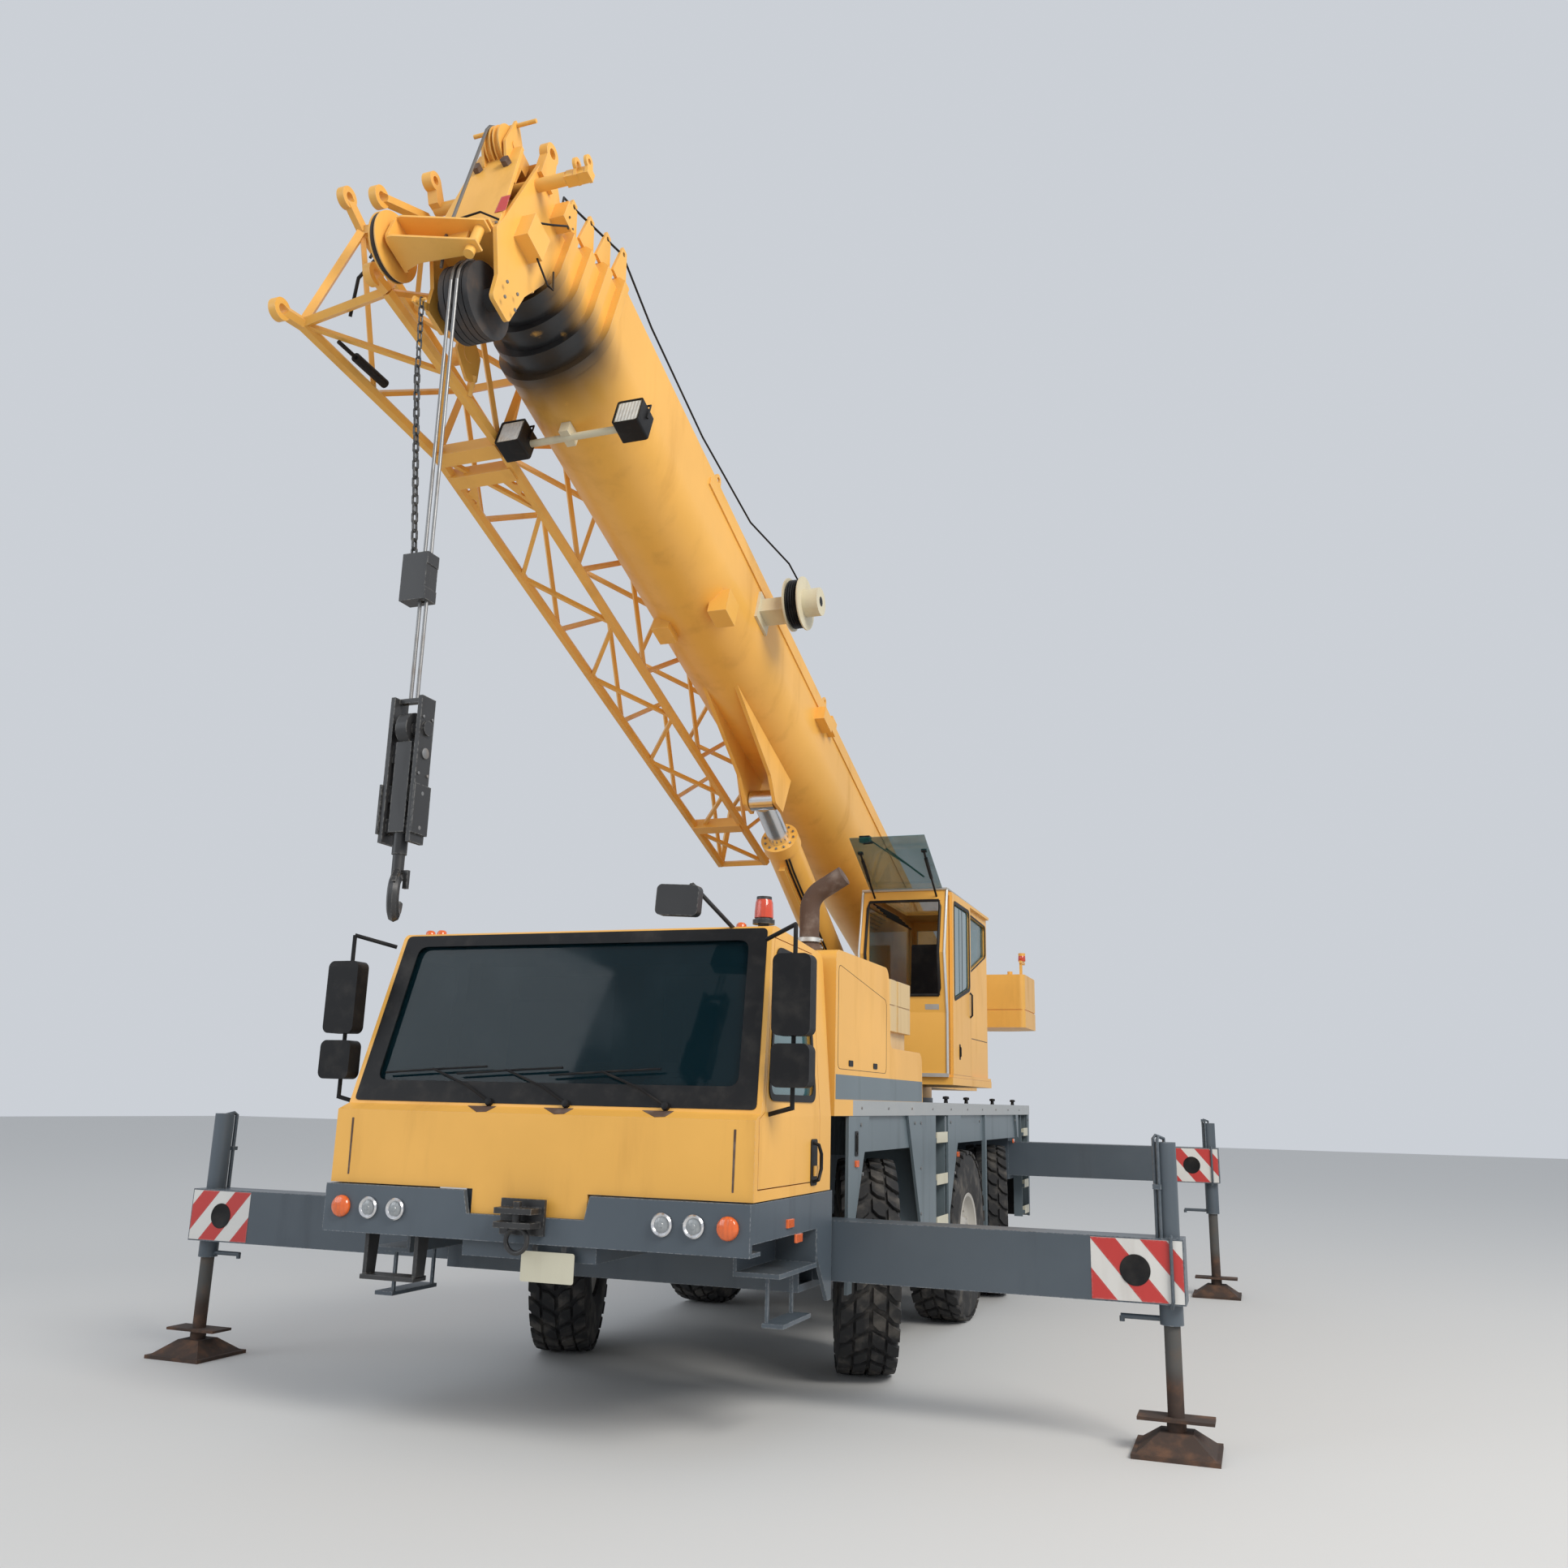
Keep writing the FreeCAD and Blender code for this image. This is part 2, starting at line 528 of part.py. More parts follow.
# Deck with its slewing well and cross bearers, aluminium side rails
DECK_Z = ("deck_low", "deck_top")
deck_plate = cut("deck_plate", box("deck_sheet", ("-rail_x", "rail_x"), ("deck_front", "deck_end"), DECK_Z),
                 rod("deck_well", "ring_radius + well_gap", "3 * deck_wall",
                     ("0", "slew_station", "deck_low - deck_wall")))
BEARERS = (
    ("front_bearer", "cover_inner_x - 10", "axle_one - 595"),
    ("middle_bearer", "tool_box_inner - 10", "axle_one + tool_box_back + 100"),
    ("well_bearer", "cover_inner_x - 10", "axle_two + 140"),
    ("tail_bearer", "frame_half - 50", "rear_box_back + deck_wall"),
)
bearers = [box(name, (f"-({half})", half), (front, front + " + bearer_long"), ("frame_top", "deck_low"))
           for name, half, front in BEARERS]
node(joined("deck", [deck_plate] + bearers))
left_rail = box("left_rail", ("rail_x", "half_width"), ("deck_front", "deck_end"), ("panel_top", "deck_top"))
node(grouped("deck_rails", [left_rail, opposite("right_rail", left_rail)]))

# Side panels with trapezoid wheel arches, tread-plate covers over the wheels and a strut between axles
x0, x1 = s.panel_x, s.panel_x + s.panel_wall
top, low, rise = s.panel_top, s.panel_low, s.arch_rise
one, two, three = s.axle_one, s.axle_two, s.axle_three
tool_rear = one + s.tool_box_back + s.tool_box_long
ladder_rear = tool_rear + s.ladder_gap + s.ladder_long
PANELS = (
    ((s.box_back + 71, s.panel_foot), (one - s.arch_foot, s.panel_foot), (one - s.arch_foot, rise),
     (one - s.arch_top, top), (s.box_back + 71, top)),
    ((one + s.arch_top, top), (one + s.arch_foot, rise), (one + s.arch_foot, low), (tool_rear + 15, low),
     (tool_rear + 15, top)),
    ((ladder_rear + 20, top), (ladder_rear + 20, low), (two - s.rear_arch_foot, low),
     (two - s.rear_arch_foot, rise),
     (two - s.rear_arch_top, top)),
    ((three + s.rear_arch_back, top), (s.rear_box_front - 60, top - s.cover_drop),
     (s.rear_box_front, top - s.cover_drop),
     (s.rear_box_front, top)),
    ((s.deck_end - 100, top), (s.deck_end - 100, s.panel_foot), (s.deck_end - 60, s.panel_foot),
     (s.deck_end, top)),
)
COVERS = ((one - s.arch_top - 90, one + s.arch_top + 70), (two - s.rear_arch_top + 10,
                                                           three + s.rear_arch_back + 40))
panels = [slab([(at(y), z) for y, z in profile], "yz", x0, x1) for profile in PANELS]
skin = x0 - s.cover_lap
for front, rear in COVERS:
    flare = s.cover_drop / 2.6
    panels.append(slab([(at(front - flare), top - s.cover_drop), (at(rear + flare), top - s.cover_drop),
                        (at(rear), top), (at(front), top)], "yz", skin - s.cover_wall, skin))
    panels.append(block((s.cover_inner_x, skin), (at(front), at(rear)), (top - s.cover_wall, top)))
strut_y = (two + three) / 2
panels.append(block((skin - s.cover_wall, x1), (at(strut_y - 55), at(strut_y + 5)), (s.panel_foot, top)))
node(made("side_panels", Part.makeCompound(both(fused(panels)))))

# Toolbox on the left, fuel tank on the right
tool_y = (at(one + s.tool_box_back), at(tool_rear))
tool_box = block((s.tool_box_inner, s.rail_x), tool_y, (s.tool_box_bottom, s.deck_low))
lid = block((s.rail_x - 1, s.rail_x + 12), (tool_y[0] + 40, tool_y[1] - 40),
            (s.tool_box_bottom + 60, top - 60))
TANK = [(-s.rail_x, s.tool_box_bottom), (-s.tool_box_inner, s.tool_box_bottom),
        (-s.tool_box_inner, s.tank_top),
        (-s.rail_x, s.tank_top)]
tank = slab(TANK, "xz", tool_y[0], tool_y[1], s.tank_round)
hanger = block((-s.rail_x + 125, -s.tool_box_inner - 100), (tool_y[0] + 100, tool_y[1] - 105),
               (s.tank_top - 20, s.deck_low))
filler = round_bar(48, (-s.rail_x + 100, tool_y[0] + 60, s.tank_top - 20), (0, 0, 70))
node(made("tool_boxes", Part.makeCompound([tool_box.fuse(lid), fused([tank, hanger, filler])])))

# Ladders: rungs between two stringers. Table: front station, rear station, lowest rung, step, number of rungs
LADDERS = (
    (tool_rear + s.ladder_gap, ladder_rear, s.rung_low, s.rung_step, 4),
    (s.rear_box_front + s.rear_ladder_back, s.rear_box_front + s.rear_ladder_back + s.rear_ladder_long,
     s.rear_rung_low, s.rear_rung_step, 4),
)
ladders = []
for front, rear, lowest, step, number in LADDERS:
    outer = s.half_width - 3
    steps = [block((outer - s.ladder_deep, outer), (at(front), at(rear)), (z, z + s.rung_high))
             for z in (lowest + k * step for k in range(number))]
    rails = [block((outer - s.ladder_deep - 10, outer - 24), (at(y), at(y + s.stringer_wide)),
                   (lowest - 30, top))
             for y in (front, rear - s.stringer_wide)]
    ladders.append(fused(steps + rails))
node(made("ladders", Part.makeCompound(ladders + [mirrored(ladders[0])])))

# Carrier cab: a hollow shell with a raked screen, split where its doors meet it
floor, belt, roof, roof_rear = s.cab_floor, s.cab_belt, s.cab_roof, s.cab_roof_rear
SIDE = [(s.cab_front, floor), (s.cab_front, belt - 20), (s.cab_front + 90, belt + 15),
        (s.cab_screen_top, roof),
        (s.cab_rear, roof_rear), (s.cab_rear, floor)]
roof_half = s.half_width - s.cab_roof_inset
FRONT = [(s.half_width, floor), (s.half_width, belt), (roof_half, roof + 30), (-roof_half, roof + 30),
         (-s.half_width, belt), (-s.half_width, floor)]
FAR = 4 * s.half_width


def cab_body(inset):
    side = slab([(at(y), z) for y, z in SIDE], "yz", -FAR, FAR, {3: s.cab_round, 4: s.cab_round}, inset)
    return side.common(slab(FRONT, "xz", at(-FAR), at(FAR), {}, inset))


cab_outer = cab_body(0)
shell = cab_outer.cut(cab_body(s.cab_wall))
sill, head = belt + s.screen_sill, roof - s.screen_head
screen_half = s.half_width - s.screen_inset
screen = slab([(-screen_half, sill), (screen_half, sill), (screen_half - 50, head),
               (-screen_half + 50, head)], "xz",
              at(-s.cab_wall), at(s.cab_screen_top + 190), s.screen_round)
ahead = s.cab_screen_top + s.cab_wall
screen = screen.common(slab([(at(-FAR), sill), (at(ahead), sill), (at(ahead), head), (at(-FAR), head)], "yz",
                            -s.half_width, s.half_width))
back_windows = [block((x - s.back_window_half, x + s.back_window_half),
                      (at(s.cab_rear - 100), at(s.cab_rear + 100)),
                      (belt + s.back_window_sill, belt + s.back_window_sill + s.back_window_high))
                for x in (-s.back_window_x, s.back_window_x)]
DOOR = [(s.door_front, floor + s.door_sill), (s.door_front, belt - 15), (s.door_front + 82, belt + 17),
        (s.cab_screen_top + 27, roof_rear), (s.door_rear, roof_rear - 20),
        (s.door_rear, floor + s.door_sill)]
WINDOW = [(s.door_front + 151, belt + s.window_sill), (s.cab_screen_top + 52, roof_rear - 70),
          (s.door_rear - 110, roof_rear - 90), (s.door_rear - 90, belt + s.window_sill)]
door_x = s.half_width - s.door_deep
door_prism = slab([(at(y), z) for y, z in DOOR], "yz", door_x, FAR)
door_hole = slab([(at(y), z) for y, z in DOOR], "yz", door_x, FAR, {}, -s.door_gap)
window = slab([(at(y), z) for y, z in WINDOW], "yz", door_x - 35, FAR, s.window_round)
body = shell.cut(screen).cut(back_windows[0]).cut(back_windows[1]).cut(door_hole).cut(mirrored(door_hole))
apron = block((-s.notch_half + 5, s.notch_half - 5), (at(s.cab_front), at(s.cab_front + s.band_wall - 4)),
              (s.band_top - s.notch_deep, floor))
recess_x, recess_y = -s.half_width + s.jack_recess_wide, at(s.cab_rear - s.jack_recess_long)
recess = block((-FAR, recess_x), (recess_y, at(FAR)), (floor - 42, floor + s.jack_recess_high))
liner = block((-FAR, recess_x + s.recess_wall), (recess_y - s.recess_wall, at(FAR)),
              (floor - 42, floor + s.jack_recess_high + s.recess_wall)).common(cab_outer)
node(made("cab_shell", body.fuse(liner).cut(recess).fuse(apron)))
pane_shell = cab_body(s.cab_wall / 2).cut(cab_body(s.cab_wall / 2 + s.glass_wall))
door = shell.common(door_prism).cut(window).fuse(pane_shell.common(window))
handle = block((s.half_width - 2, s.half_width + s.handle_reach),
               (at(s.door_rear - 110), at(s.door_rear - 110 + s.handle_long)),
               (floor + 88, floor + 88 + s.handle_high))
door = door.fuse(handle)
node(made("door_left", door))
node(made("door_right", mirrored(door)))
node(made("cab_glass", Part.makeCompound([pane_shell.common(w) for w in [screen] + back_windows])))

# Lower band: bumper with a notch under the front panel, side steps, and a gusset beside the outrigger box
low, high, wall = s.band_bottom, s.band_top, s.band_wall
notch, notch_top = s.notch_half, high - s.notch_deep
flare = notch + s.notch_flare
front_face = slab([(-s.half_width, low), (s.half_width, low), (s.half_width, high), (flare, high),
                   (notch, notch_top),
                   (-notch, notch_top), (-flare, high), (-s.half_width, high)], "xz", at(0), at(wall))
band = [front_face]
band += both(block((s.half_width - wall, s.half_width), (at(0), at(s.band_rear)), (low + 60, high)))
band += both(block((s.frame_half, s.half_width), (at(0), at(5 * wall)), (low, low + 20)))
step_in, step_out = s.half_width - 3 - s.step_deep, s.half_width - 3
steps = [block((step_in, step_out), (at(s.step_front), at(s.band_rear)), (s.step_z, s.step_z + s.step_wall)),
         block((step_in, step_in + 20), (at(s.step_front), at(s.band_rear)), (s.step_z, low + 80)),
         block((step_in, step_out), (at(s.band_rear - 20), at(s.band_rear)), (s.step_z, low + 90)),
         block((step_out - 120, step_out), (at(s.drop_step_front), at(s.drop_step_rear)),
               (s.drop_step_z, s.drop_step_z + 22))]
steps += [block((step_out - 112, step_out - 96), (at(y), at(y + 20)), (s.drop_step_z, s.step_z + 10))
          for y in (s.drop_step_front + 20, s.drop_step_rear - 40)]
band += both(fused(steps))
gusset = slab([(at(s.band_rear - 10), high), (at(s.band_rear - 10), s.gusset_nose + 40),
               (at(s.gusset_rear - 60), s.gusset_low),
               (at(s.gusset_rear), s.gusset_low), (at(s.gusset_rear), high)], "yz",
              s.half_width - s.gusset_wall, s.half_width)
band.append(gusset)
node(made("cab_band", fused(band)))

# Lamps in the bumper. Table: distance from the centreline, radius
LAMPS = ((793, 46), (967, 46), (1149, 48))
lamps = []
for x, radius in LAMPS:
    lamps += both(round_bar(radius, (x, at(-s.lamp_reach), high - s.lamp_drop), (0, s.lamp_reach, 0)))
node(made("lamps", Part.makeCompound(lamps)))

# Engine hood with its lower rear hump, and the engine under it
HOOD = [(s.hood_front, s.deck_top), (s.hood_front, s.hood_top), (s.hood_step - 40, s.hood_top),
        (s.hood_step + 20, s.hood_hump), (s.hood_rear - 30, s.hood_hump), (s.hood_rear, s.deck_top)]
half, wall, turn = s.half_width, s.hood_wall, s.hood_round
hood = slab([(at(y), z) for y, z in HOOD], "yz", -half, half, {1: turn, 2: turn + 30, 3: turn, 4: turn + 20})
hollow = slab([(at(y), z) for y, z in HOOD], "yz", -half + wall, half - wall,
              {1: turn - wall, 2: turn + 30 - wall, 3: turn + wall, 4: turn + 20 - wall}, wall)
hollow = hollow.fuse(block((-half + wall, half - wall), (at(s.hood_front + wall), at(s.hood_rear - 60)),
                           (s.deck_top - 1, s.deck_top + 2 * wall)))
hood = hood.cut(hollow).fuse(block((-half, half), (at(s.hood_front), at(s.deck_front)),
                                   (s.panel_top, s.deck_top)))
LOUVRES = 6
for k in range(LOUVRES):
    z = s.deck_top + 240 + k * 70
    hood = hood.cut(block((-FAR, -half + 14), (at(s.hood_front + 330), at(s.hood_front + 930)), (z, z + 36)))
node(made("engine_hood", hood))
node(box("engine_block", ("-engine_half", "engine_half"), ("hood_front + engine_front",
                                                           "hood_front + engine_front + engine_long"),
         ("deck_top", "hood_top - engine_drop")))

# Exhaust: an upright pipe, a bend and a slanted tip, round in section and swept along arcs
stack_x, stack_y = s.half_width - s.stack_inset, at(s.hood_front + s.stack_back)
bend_z = s.hood_top + s.stack_rise - s.stack_bend
foot = round_bar(s.stack_radius, (stack_x, stack_y, s.hood_top), (0, 0, bend_z - s.hood_top))
ring = Part.Face(Part.Wire(Part.Circle(Vector(stack_x, stack_y, bend_z), Vector(0, 0, 1),
                                       s.stack_radius).toShape()))
elbow = ring.revolve(Vector(stack_x + s.stack_bend, stack_y, bend_z), Vector(0, 1, 0), 60)
slant = Vector(math.sin(math.radians(60)), 0, math.cos(math.radians(60)))
tip_start = Vector(stack_x + s.stack_bend * (1 - math.cos(math.radians(60))), stack_y,
                   bend_z + s.stack_bend * math.sin(math.radians(60)))
tip = Part.makeCylinder(s.stack_radius, s.tip_long, tip_start, slant)
flange = round_bar(s.stack_radius + 16, (stack_x, stack_y, s.hood_top), (0, 0, 40))
node(made("exhaust", fused([foot, elbow, tip, flange])))

# Two ballast slabs on each side of the deck, on a foot that stands on the hood's hump
wide, front = s.ballast_wide, s.hood_step + s.ballast_gap
outer = s.half_width - s.ballast_inset
piles = []
foot_top = s.hood_hump + s.ballast_foot
pile = [block((outer - wide + 40, outer - 45), (at(front + 40), at(front + s.ballast_long - 30)),
              (s.hood_hump, foot_top))]
for z in (foot_top, foot_top + s.ballast_slab):
    slab_z = (z, z + s.ballast_slab)
    pile.append(slab([(outer - wide, at(front)), (outer, at(front)), (outer, at(front + s.ballast_long)),
                      (outer - wide, at(front + s.ballast_long))], "xy", slab_z[0], slab_z[1], 40))
groove = block((outer - 6, outer + 5), (at(front + 150), at(front + 230)),
               (foot_top, foot_top + 2 * s.ballast_slab))
seam = block((outer - 8, outer + 5), (at(front), at(front + s.ballast_long)),
             (foot_top + s.ballast_slab - 5, foot_top + s.ballast_slab + 5))
node(made("deck_ballast", Part.makeCompound(both(fused(pile).cut(groove).cut(seam)))))

# Roof beacon, roof mirror on its stalk, and the tow jaw with its shackle
beacon_y, beacon_z = at(s.beacon_back), s.cab_roof_rear
beacon = fused([round_bar(s.beacon_base / 2, (s.beacon_x, beacon_y, beacon_z - 20),
                          (0, 0, s.beacon_stalk + 30)),
                round_bar(s.beacon_base, (s.beacon_x, beacon_y, beacon_z + s.beacon_stalk), (0, 0, 25)),
                Part.makeCone(s.beacon_radius, 0.85 * s.beacon_radius, s.beacon_high,
                              Vector(s.beacon_x, beacon_y, beacon_z + s.beacon_stalk + 25))])
mirror_z = roof + s.roof_mirror_rise
mirror_x, glass_half = s.roof_mirror_x, s.roof_mirror_wide / 2
elbow_point = (mirror_x + 60, at(60), mirror_z + s.roof_mirror_high)
stalk = [bar((mirror_x + 160, at(s.cab_screen_top + 60), roof - 30), elbow_point, s.tube_radius),
         bar(elbow_point, (mirror_x, at(30), mirror_z + s.roof_mirror_high / 2), s.tube_radius),
         slab([(mirror_x - glass_half, mirror_z), (mirror_x + glass_half - 10, mirror_z - 15),
               (mirror_x + glass_half, mirror_z + s.roof_mirror_high - 15),
               (mirror_x - glass_half + 10, mirror_z + s.roof_mirror_high)],
              "xz", at(0), at(60), 30)]
jaw_mid = s.band_top - s.notch_deep
plates = [block((-s.jaw_half, s.jaw_half), (at(-s.jaw_reach), at(0)), (z, z + s.jaw_plate))
          for z in (jaw_mid + s.jaw_gap / 2, jaw_mid - s.jaw_gap / 2 - s.jaw_plate)]
pin = round_bar(s.jaw_pin, (0, at(-s.jaw_reach + 45), jaw_mid - s.jaw_gap), (0, 0, 3 * s.jaw_gap))
shackle_z = jaw_mid - s.jaw_gap / 2 - s.jaw_plate - s.shackle_radius
shackle = Part.makeTorus(s.shackle_radius, s.shackle_wire, Vector(0, at(-s.jaw_reach / 2), shackle_z),
                         Vector(0, 1, 0))
back = block((-s.jaw_half - 20, s.jaw_half + 20), (at(-20), at(0)), (jaw_mid - 90, jaw_mid + 90))
node(made("cab_fittings", Part.makeCompound([beacon.cut(cab_outer), fused(stalk).cut(cab_outer),
                                             fused(plates + [pin, shackle, back])])))

# Cab interior: dash, steering wheel and two seats
ground = floor + s.cab_wall
dash = slab([(at(190), ground), (at(560), ground), (at(560), belt + 5), (at(470), belt + 85),
             (at(190), belt + 35)], "yz",
            -s.half_width + 115, s.half_width - 115)
wheel_at = Vector(600, at(645), belt + 115)
column = bar((600, at(540), belt - 5), wheel_at, 35, 8)
rim_ring = Part.Face(Part.makePolygon([Vector(220 + 18 * math.cos(t), 0, 18 * math.sin(t))
                                       for t in (k * math.pi / 3 for k in range(7))]))
steering = rim_ring.revolve(Vector(), Vector(0, 0, 1), 360).fuse(block((-205, 205), (-16, 16), (-10, 10)))
steering.Placement = Placement(wheel_at, Rotation(Vector(0, 0, 1), Vector(0, 0.45, 1)))
seats = []
for x in (-600, 600):
    seats.append(fused([block((x - 150, x + 150), (at(780), at(1100)), (ground, belt - 95)),
                        slab([(at(740), belt - 95), (at(740), belt + 30), (at(1180), belt + 45),
                              (at(1180), belt - 95)], "yz",
                             x - 260, x + 260, {1: 50}),
                        slab([(at(1070), belt + 20), (at(1120), belt + 675), (at(1200), belt + 675),
                              (at(1200), belt + 20)], "yz",
                             x - 250, x + 250, {1: 30, 2: 30})]))
node(made("cab_interior", Part.makeCompound([fused([dash, column, steering])] + seats)))

# Door mirrors: a large and a small one on a bent tube
stalk_x, stalk_y = s.half_width + s.mirror_reach, at(s.mirror_back)
low_z, high_z = belt + 35, belt + 985
mid_z = belt + 405
mirror_low = stalk_x + 110
glasses = [slab([(mirror_low - s.mirror_wide, z), (mirror_low, z), (mirror_low, z + tall),
                 (mirror_low - s.mirror_wide, z + tall)],
                "xz", stalk_y - 70, stalk_y - 70 + s.mirror_deep, s.mirror_round)
           for z, tall in ((mid_z, s.mirror_high), (mid_z - s.mirror_gap - s.spot_mirror_high,
                                                    s.spot_mirror_high))]
tubes = [bar((s.half_width - 20, stalk_y + 30, belt + 5), (stalk_x, stalk_y, low_z + 10), s.tube_radius),
         bar((stalk_x, stalk_y, low_z), (stalk_x, stalk_y, high_z), s.tube_radius),
         bar((stalk_x, stalk_y, high_z), (roof_half, stalk_y + 130, high_z - 60), s.tube_radius)]
door_mirrors = fused(tubes + glasses).cut(cab_outer)
node(made("mirrors_left", door_mirrors))
node(made("mirrors_right", mirrored(door_mirrors)))

# Superstructure: slewing table with two cheeks that carry the boom, cylinder, winch and counterweight
slew_y = at(s.slew_station)


def over(a, z):
    """A point of the superstructure's side view: distance ahead of the slewing centre, height."""
    return slew_y - a, z


cab_y = (slew_y - s.crane_cab_front + 20, slew_y - s.crane_cab_rear - 20)
CHEEK = [over(s.cheek_front, s.table_top), over(420, s.table_top + 420), over(-900, s.pivot_z + 120),
         over(-s.pivot_back - 170, s.pivot_z + 200), over(-s.pivot_back - 300, s.pivot_z - 120),
         over(-s.weight_front + 50, s.weight_bottom), over(-s.cheek_rear, s.weight_bottom),
         over(-s.cheek_rear, s.weight_bottom - 180), over(-s.table_rear + 50, s.table_top)]
cheek = slab(CHEEK, "yz", s.cheek_x, s.cheek_x + s.cheek_wall)
hole_y, hole_z = over(-2300, s.table_top + 330)
cheek = cheek.cut(slab([(hole_y - 260, hole_z - 150), (hole_y + 200, hole_z - 150),
                        (hole_y + 260, hole_z + 120),
                        (hole_y - 260, hole_z + 120)], "yz", 0, FAR, 60))
reach = s.cheek_x + s.cheek_wall / 2
shafts = [round_bar(radius, (-reach, slew_y + back, z), (2 * reach, 0, 0))
          for radius, back, z in ((s.pivot_pin, s.pivot_back, s.pivot_z),
                                  (s.cylinder_pin, s.base_pin_back, s.base_pin_z),
                                  (s.drum_shaft, s.drum_back, s.drum_z))]
TABLE_Z = (s.table_bottom, s.table_top)
table = fused([
    round_bar(s.ring_radius - s.ring_gap, (0, slew_y, s.ring_top + s.seat_gap),
              (0, 0, s.table_rise + s.table_wall / 2)),
    block((-s.table_half, s.table_half), (slew_y - s.table_front, slew_y + s.table_rear), TABLE_Z),
    block((s.cheek_x, s.crane_cab_outer), cab_y, TABLE_Z),
    cheek, mirrored(cheek),
    block((-s.table_half, s.table_half), (slew_y + s.cheek_rear - 200, slew_y + s.cheek_rear),
          (s.weight_bottom - 180, s.weight_bottom)),
] + shafts + both(round_bar(s.pivot_pin + 50, (s.cheek_x + s.cheek_wall, slew_y + s.pivot_back, s.pivot_z),
                            (18, 0, 0))))
node(made("turntable", table))
drum = rod("drum_barrel", "drum_radius", "2 * drum_half", ("-drum_half", "slew_station + drum_back",
                                                           "drum_z"),
           Rotation(Vector(0, 1, 0), 90))
flanges = [rod(name, "drum_flange", "flange_wall", (x, "slew_station + drum_back", "drum_z"),
               Rotation(Vector(0, 1, 0), 90))
           for name, x in (("right_flange", "-drum_half - flange_wall"), ("left_flange", "drum_half"))]
drum_bore = rod("drum_bore", "drum_shaft + running_fit", "4 * drum_half",
                ("-2 * drum_half", "slew_station + drum_back", "drum_z"), Rotation(Vector(0, 1, 0), 90))
node(cut("winch_drum", joined("drum_and_flanges", [drum] + flanges), drum_bore))
rear = slew_y + s.weight_front + s.weight_long
WEIGHT = [(-s.weight_half, slew_y + s.weight_front), (s.weight_half, slew_y + s.weight_front),
          (s.weight_half, rear - s.weight_corner), (s.weight_half - s.weight_chamfer, rear),
          (-s.weight_half + s.weight_chamfer, rear), (-s.weight_half, rear - s.weight_corner)]
split = s.weight_bottom + s.weight_low_slab
slabs = [slab(WEIGHT, "xy", z, z + tall, {0: s.weight_round, 1: s.weight_round})
         for z, tall in ((s.weight_bottom, s.weight_low_slab), (split, s.weight_top_slab))]
seam = slab(WEIGHT, "xy", split - 6, split + 6).cut(slab(WEIGHT, "xy", split - 7, split + 7, {}, 10))
posts = both(round_bar(30, (s.weight_half - 180, slew_y + s.weight_front + 90, split + s.weight_top_slab),
                       (0, 0, 40)))
bracket_z = split + s.weight_top_slab
beacon_arm = [block((s.weight_half - 60, s.weight_half - 30),
                    (slew_y + s.weight_front + 40, slew_y + s.weight_front + 70),
                    (bracket_z, bracket_z + 150)),
              block((s.weight_half - 60, s.weight_half - 30),
                    (slew_y + s.weight_front + 20, slew_y + s.weight_front + 260),
                    (bracket_z + 130, bracket_z + 160)),
              round_bar(40, (s.weight_half - 45, slew_y + s.weight_front + 130, bracket_z + 160),
                        (0, 0, 95))]
node(made("counterweight", fused(slabs + posts + beacon_arm).cut(seam)))

# Crane cab: hollow, its front window swung up, a sliding door on its outer side
front, back, base, top = s.crane_cab_front, s.crane_cab_rear, s.crane_cab_floor, s.crane_cab_roof
CAB = [over(front, base), over(front, base + 536), over(front + s.crane_cab_rake, base + 1036),
       over(front - 20, top),
       over(back, top - s.crane_cab_fall), over(back, base)]
inner, outer = s.crane_cab_inner, s.crane_door_x
wall, pillar = s.crane_cab_wall, s.crane_pillar
sill, head = base + s.crane_sill, top - s.crane_window_head


def crane_cab(inset):
    return slab(CAB, "yz", inner + inset, outer - inset, {}, inset)


door_rear = front - s.crane_door_front - s.crane_door_long
openings = {
    "front": block((inner + pillar, outer - pillar), (slew_y - front - 200, slew_y - front + 120),
                   (sill - 60, head + 10)),
    "door": slab([over(front - 80, base + 56), over(front - 80, head + 30), over(door_rear + 30, head + 30),
                  over(door_rear + 30, base + 56)], "yz", outer - 2 * wall, outer + wall),
    "side": slab([over(door_rear - 30, sill + 200), over(door_rear - 30, head + 10),
                  over(back + pillar, head - 10),
                  over(back + pillar, sill + 450)], "yz", outer - 2 * wall, outer + wall),
    "inner": slab([over(front - 100, sill), over(front - 100, head - 10), over(back + 100, head - 10),
                   over(back + 100, sill)],
                  "yz", inner - wall, inner + 2 * wall),
    "rear": block((inner + 80, outer - 80), (slew_y - back - 2 * wall, slew_y - back + wall),
                  (sill + 100, head - 30)),
    "roof": block((inner + 90, outer - 90), (slew_y - front + 250, slew_y - back - 500),
                  (top - 3 * wall, top + wall)),
}
frame = crane_cab(0).cut(crane_cab(wall))
for opening in openings.values():
    frame = frame.cut(opening)
door_low, door_high = base + 26, top - 50
rails = [block((outer, s.crane_cab_outer - 4), (slew_y - front + s.crane_door_front, slew_y - back - 20), z)
         for z in ((door_low - s.crane_rail_high, door_low - s.seat_gap),
                   (door_high + s.seat_gap, door_high + s.crane_rail_high))]
node(made("crane_cab", fused([frame] + rails)))
panes = crane_cab(wall / 2).cut(crane_cab(wall / 2 + s.glass_wall))
raised = block((inner + 70, outer - 44), (0, s.swung_long), (0, s.glass_wall))
raised = raised.rotated(Vector(), Vector(1, 0, 0), s.swung_angle).mirror(Vector(), Vector(0, 1, 0))
raised.translate(Vector(0, slew_y - front + 20, top))
